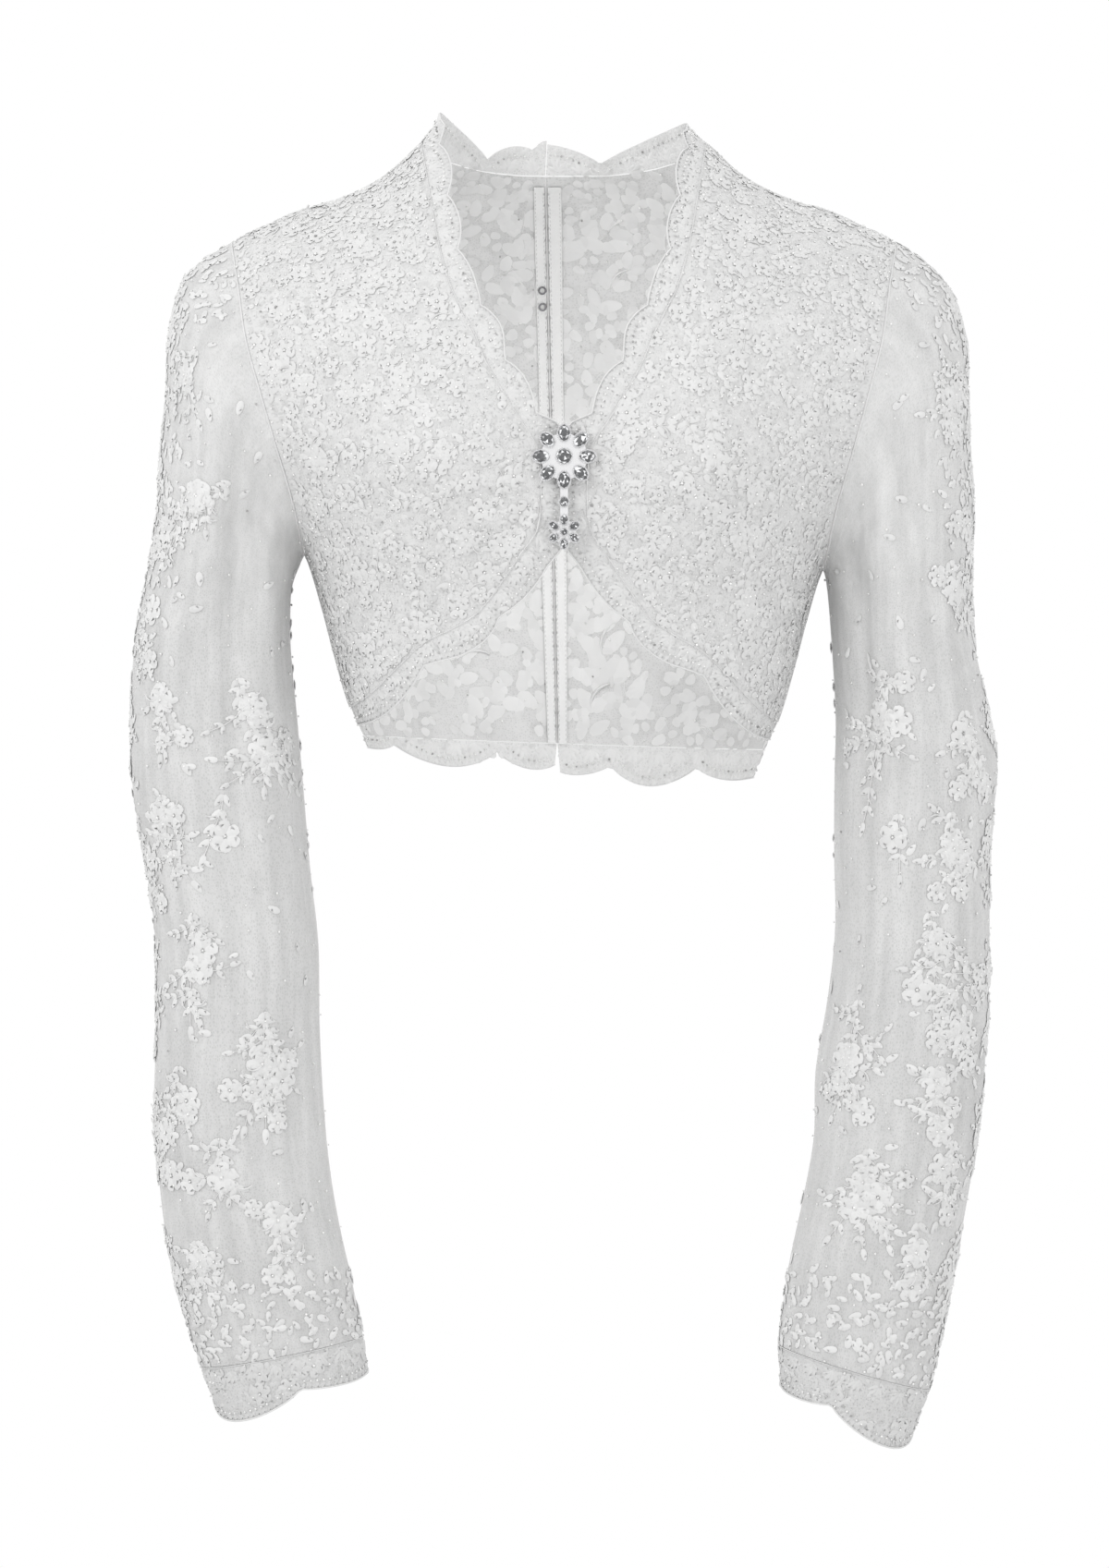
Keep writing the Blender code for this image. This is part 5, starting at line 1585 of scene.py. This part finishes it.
def makeBorder(name, surface, seed, net="borderNet", thread="border"):
    draw = np.random.default_rng(seed)
    cloth = newCloth(name, surface, borders, net, "border_lace", name)
    basket = newBasket()
    area = cutSize(surface)[1]
    u, v = scatterPlaces(surface, borders["fillEvery"], int(area / 1.6e-6), draw)
    strew(basket, surface, u, v, borders, borders["leaf"], draw)
    lobeFans(basket, surface, draw)
    u, v = scatterPlaces(surface, borders["sprayEvery"], int(area / 3e-5), draw)
    growSprays(basket, surface, u, v, draw.uniform(0, 2 * pi, len(u)), borders["sprayLong"], borders["spray"],
               draw, 0.4)
    edgeRow(basket, surface, draw)
    sewn = sewOn(name, basket, finishes[thread], "border_lace", seed)
    for place, row in (("edge", -1), ("seam", 0)):
        line = surface["points"][row] + borders["cordLift"] * surface["normals"][row]
        cord = layCords(f"{name}_{place}_cord", [(line, surface["wrap"])], borders[f"{place}Cord"], 6,
                        finishes["cord"])
        sewn.append(dress(cord, "border_lace"))


# Fine pipings sunk in the seams at the shoulders, sides and armholes, and down the centre back
pipings = {"thick": 0.0009, "armhole": 0.0010, "centre": 0.0012, "sunk": 0.0006, "centreSunk": 0.0007}


def makePipings(name, side):
    frontPanel, backPanel = frontGrid(side), backGrid(side)
    firstSide = garment["armholeRows"] * garment["finer"]
    shoulder = frontPanel[0] * [1.0, 0.0, 1.0]
    sideSeam, longer = (panel[firstSide:, -1] * [1.0, 0.0, 1.0] for panel in (frontPanel, backPanel))
    loop = armholeLoop(side) + [side * garment["sleeveSeam"] / 2, 0.0, 0.0]
    lines = [(shoulder, False), (longer if len(longer) > len(sideSeam) else sideSeam, False)]
    middle = loop.mean(axis=0)
    for line, _ in lines:
        line -= pipings["sunk"] * unit(line - middle * [1.0, 1.0, 0.0] - [0.0, 0.0, -0.15])
    loop = loop - pipings["sunk"] * unit(loop - middle)
    for place, run, thick in (("seam", lines, "thick"), ("armhole", [(loop, True)], "armhole")):
        dress(layCords(f"{place}_piping_{name}", run, pipings[thick], 6, finishes["piping"]), "body_lace")


def makeCentreSeam():
    # one cord in the narrow gap between the two backs
    right, left = (panelSurface(backGrid(side), back) for side in (-1, 1))
    outward = unit(right["normals"][:, 0] + left["normals"][:, 0])
    line = (right["points"][:, 0] + left["points"][:, 0]) / 2 - pipings["centreSunk"] * outward
    cord = layCords("centre_back_cord", [(line, False)], pipings["centre"], 6, finishes["backSeam"])
    dress(cord, "body_lace")


# The brooch: cut stones in the CAD's cups, with claws and a beaded rim
brooch = {
    "oval": 0.74,
    "petalRing": 0.0122,
    "petals": 8,
    "petalStone": 0.0043,
    "heartStone": 0.0040,
    "linkZ": -0.0236,
    "linkStone": 0.0026,
    "dropZ": -0.0392,
    "dropRing": 0.0062,
    "drops": 6,
    "dropStone": 0.0027,
    "dropHeart": 0.0018,
    "rise": 0.0022,
    "cupWall": 0.0006,
    "facets": 8,
    "grain": 0.0007,
    "grainEvery": 0.00085,
    "claw": [0.0008, 0.0008, 0.0016],
    "clawAt": 0.96,
    "clawRise": 0.0008,
}


def stonePlaces():
    low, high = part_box("stone_heart")
    middle = (low + high) / 2
    places = [
        ("heart", middle.x, middle.z, brooch["heartStone"], brooch["heartStone"], 0.0),
        ("link", middle.x, middle.z + brooch["linkZ"], brooch["linkStone"], brooch["linkStone"], 0.0),
        ("drop_heart", middle.x, middle.z + brooch["dropZ"], brooch["dropHeart"], brooch["dropHeart"], 0.0),
    ]
    rings = (
        ("petal", 0.0, brooch["petalRing"], brooch["petals"], brooch["petalStone"]),
        ("drop", brooch["dropZ"], brooch["dropRing"], brooch["drops"], brooch["dropStone"]),
    )
    for name, z, ring, count, long in rings:
        for number in range(count):
            turn = pi / 2 + 2 * pi * number / count
            places.append((f"{name}_{number + 1}", middle.x + ring * cos(turn),
                           middle.z + z + ring * sin(turn), long, long * brooch["oval"], turn))
    return places, float(high.y)


def makeStones(seed):
    draw = np.random.default_rng(seed)
    places, foot = stonePlaces()
    points, faces, paintedFacetLight = [], [], []
    facets = brooch["facets"]
    rings = ((0.0, 0.90, 0.0), (0.30, 1.0, 0.0), (0.72, 0.80, 0.5), (1.0, 0.52, 0.0))
    for name, x, z, long, wide, turn in places:
        first = len(points)
        for height, reach, shift in rings:
            for number in range(facets):
                angle = 2 * pi * (number + shift) / facets
                a, b = long * reach * cos(angle), wide * reach * sin(angle)
                points.append((x + a * cos(turn) - b * sin(turn), foot - height * brooch["rise"],
                               z + a * sin(turn) + b * cos(turn)))
        points.append((x, foot, z))
        points.append((x + 0.05 * long, foot - brooch["rise"] * 1.04, z + 0.04 * long))
        under, top = len(points) - 2, len(points) - 1
        for number in range(facets):
            after = (number + 1) % facets
            r0, r1, r2, r3 = (first + ring * facets for ring in range(4))
            shapesOfFacet = [
                ((r0 + after, r0 + number, under), 0.05),
                ((r0 + number, r0 + after, r1 + after, r1 + number), 0.35),
                ((r1 + number, r1 + after, r2 + number), 0.20),
                ((r1 + after, r2 + after, r2 + number), 0.60),
                ((r2 + number, r2 + after, r3 + after), 0.15),
                ((r2 + number, r3 + after, r3 + number), 0.45),
                ((r3 + number, r3 + after, top), 0.10),
            ]
            # each facet's tone is painted light: a painted glint, a painted dark reflection, and otherwise a
            # painted shade set by its place on the stone
            for corners, tone in shapesOfFacet:
                faces.append(corners)
                glintChance = draw.random()
                paintedFacetLight.append(1.0 if glintChance < 0.18 else 0.02 if glintChance < 0.60 else tone * 0.5)
    mesh = bpy.data.meshes.new("cut_stones")
    mesh.from_pydata(points, [], faces)
    column = mesh.attributes.new("tone", "FLOAT", "FACE")
    column.data.foreach_set("value", np.array(paintedFacetLight, np.float32))
    faceOutward(mesh)
    made = addObject("cut_stones", mesh, finishes["stone"])
    return dress(made, "cut_glass", *[f"stone_{place[0]}" for place in places])


def faceOutward(mesh):
    shell = bmesh.new()
    shell.from_mesh(mesh)
    bmesh.ops.recalc_face_normals(shell, faces=shell.faces)
    shell.to_mesh(mesh)
    shell.free()


def makeClaws(seed):
    # a beaded rim round each cup and four claws over each stone
    places, foot = stonePlaces()
    spots, sizes = [], []
    for name, x, z, long, wide, turn in places:
        rimLong, rimWide = long + brooch["cupWall"] * 0.6, wide + brooch["cupWall"] * 0.6
        count = max(10, round(pi * (rimLong + rimWide) / brooch["grainEvery"]))
        for number in range(count):
            angle = 2 * pi * number / count
            a, b = rimLong * cos(angle), rimWide * sin(angle)
            spots.append((x + a * cos(turn) - b * sin(turn), foot, z + a * sin(turn) + b * cos(turn)))
            sizes.append([brooch["grain"]] * 3)
        for number in range(4):
            angle = pi / 4 + pi / 2 * number
            a, b = long * brooch["clawAt"] * cos(angle), wide * brooch["clawAt"] * sin(angle)
            spots.append((x + a * cos(turn) - b * sin(turn), foot - brooch["clawRise"],
                          z + a * sin(turn) + b * cos(turn)))
            sizes.append(brooch["claw"])
    basket = newBasket()
    spots = np.array(spots)
    turn = np.tile([pi / 2, 0.0, 0.0], (len(spots), 1))
    basket["bead"].append((spots, turn, np.array(sizes), np.ones(len(spots))))
    made = putShapes("brooch_rims_and_claws", ("bead",), basket, finishes["silver"], seed, 0.0)
    return dress(made, "silver")


for sideName, side in sides.items():
    makeFront(sideName, side, 11 if side < 0 else 23)
    makeBack(sideName, side, 37 if side < 0 else 41)
    makeSleeve(sideName, 53 if side < 0 else 67)
print("panels and sleeves made")

for sideName, side in sides.items():
    outward = np.array([side * 0.5, -1.0, 0.0])
    makeBorder(f"front_edging_{sideName}", stripSurface(*frontEdgingLines(side), outward), 71 + side)
    seamLine, edgeLine = hemLines(side)
    away = np.stack([seamLine[:, 0], np.full(len(seamLine), 0.1), np.zeros(len(seamLine))], axis=-1)
    # the hem border and neck band take the lighter thread and net: painted light on their inner faces
    makeBorder(f"hem_border_{sideName}", stripSurface(seamLine, edgeLine, away), 81 + side, "bandNet",
               "innerBorder")
    seamLine, edgeLine = bandLines(side)
    away = unit(seamLine * [1.0, 1.0, 0.0])
    makeBorder(f"neck_band_{sideName}", stripSurface(seamLine, edgeLine, away), 91 + side, "bandNet",
               "innerBorder")
    cuffGrid = stripGrid(*cuffLines(sideName))
    # the cuffs take the darker thread and net: painted shade at the sleeve ends
    makeBorder(f"cuff_{sideName}", tubeSurface(cuffGrid), 101 + side, "cuffNet", "cuffLace")
    makePipings(sideName, side)
print("borders and pipings made")

makeCentreSeam()
makeStones(5)
makeClaws(7)
for node, finish in (("brooch_setting", "silver"), ("hook_upper", "darkWire"), ("hook_lower", "darkWire")):
    for place in bpy.data.objects[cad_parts[node].name].material_slots:
        place.material = finishes[finish]
for shape in shapes.values():
    bpy.data.objects.remove(shape, do_unlink=True)
print("brooch and hooks made")

# Floor, light and camera
studio = {
    "floor": -1.05,
    "floorWide": 3.4,
    "camera": (-0.005, -2.6, -0.317),
    "lens": 110.3,
    "worldLight": 1.0,
    "key": {"place": (-1.4, -1.5, 0.9), "aim": (0.0, 0.0, -0.08), "size": 1.2, "watts": 12.5},
    "fill": {"place": (1.15, -1.85, -0.70), "aim": (0.0, 0.0, -0.25), "size": 1.3, "watts": 6.0},
    "inside": {"place": (0.0, -0.050, -0.14), "aim": (0.0, 0.1, -0.16), "size": 0.19, "watts": 0.16},
}


def makeFloor():
    mesh = bpy.data.meshes.new("floor")
    half = studio["floorWide"] / 2
    ring = [(half * cos(turn), half * sin(turn), studio["floor"]) for turn in np.linspace(0, 2 * pi, 97)[:-1]]
    mesh.from_pydata(ring, [], [list(range(96))])
    addObject("floor", mesh, newMaterial("paleFloor", (0.72, 0.72, 0.72), 0.9)[0])


def makeLight(name, look):
    light = bpy.data.lights.new(name, "AREA")
    light.shape = "DISK"
    light.size = look["size"]
    light.energy = look["watts"]
    made = bpy.data.objects.new(name, light)
    made.location = look["place"]
    aim = Vector(look["aim"]) - Vector(look["place"])
    made.rotation_euler = aim.to_track_quat("-Z", "Y").to_euler()
    made.visible_camera = False
    bpy.context.scene.collection.objects.link(made)


def makeWorld():
    world = bpy.data.worlds.new("studio")
    bpy.context.scene.world = world
    world.use_nodes = True
    soft = world.node_tree.nodes["Background"]
    soft.inputs["Color"].default_value = (1.0, 1.0, 1.0, 1.0)
    soft.inputs["Strength"].default_value = studio["worldLight"]


makeFloor()
for name in ("key", "fill", "inside"):  # the last is a small soft light between the fronts and the back
    makeLight(name, studio[name])
makeWorld()
bpy.context.scene.view_settings.view_transform = "Standard"
camera = bpy.data.cameras.new("camera")
camera.lens = studio["lens"]
camera.sensor_width = 36.0
cameraObject = bpy.data.objects.new("camera", camera)
cameraObject.location = studio["camera"]
cameraObject.rotation_euler = (pi / 2, 0.0, 0.0)
bpy.context.scene.collection.objects.link(cameraObject)
bpy.context.scene.camera = cameraObject
print("studio made")
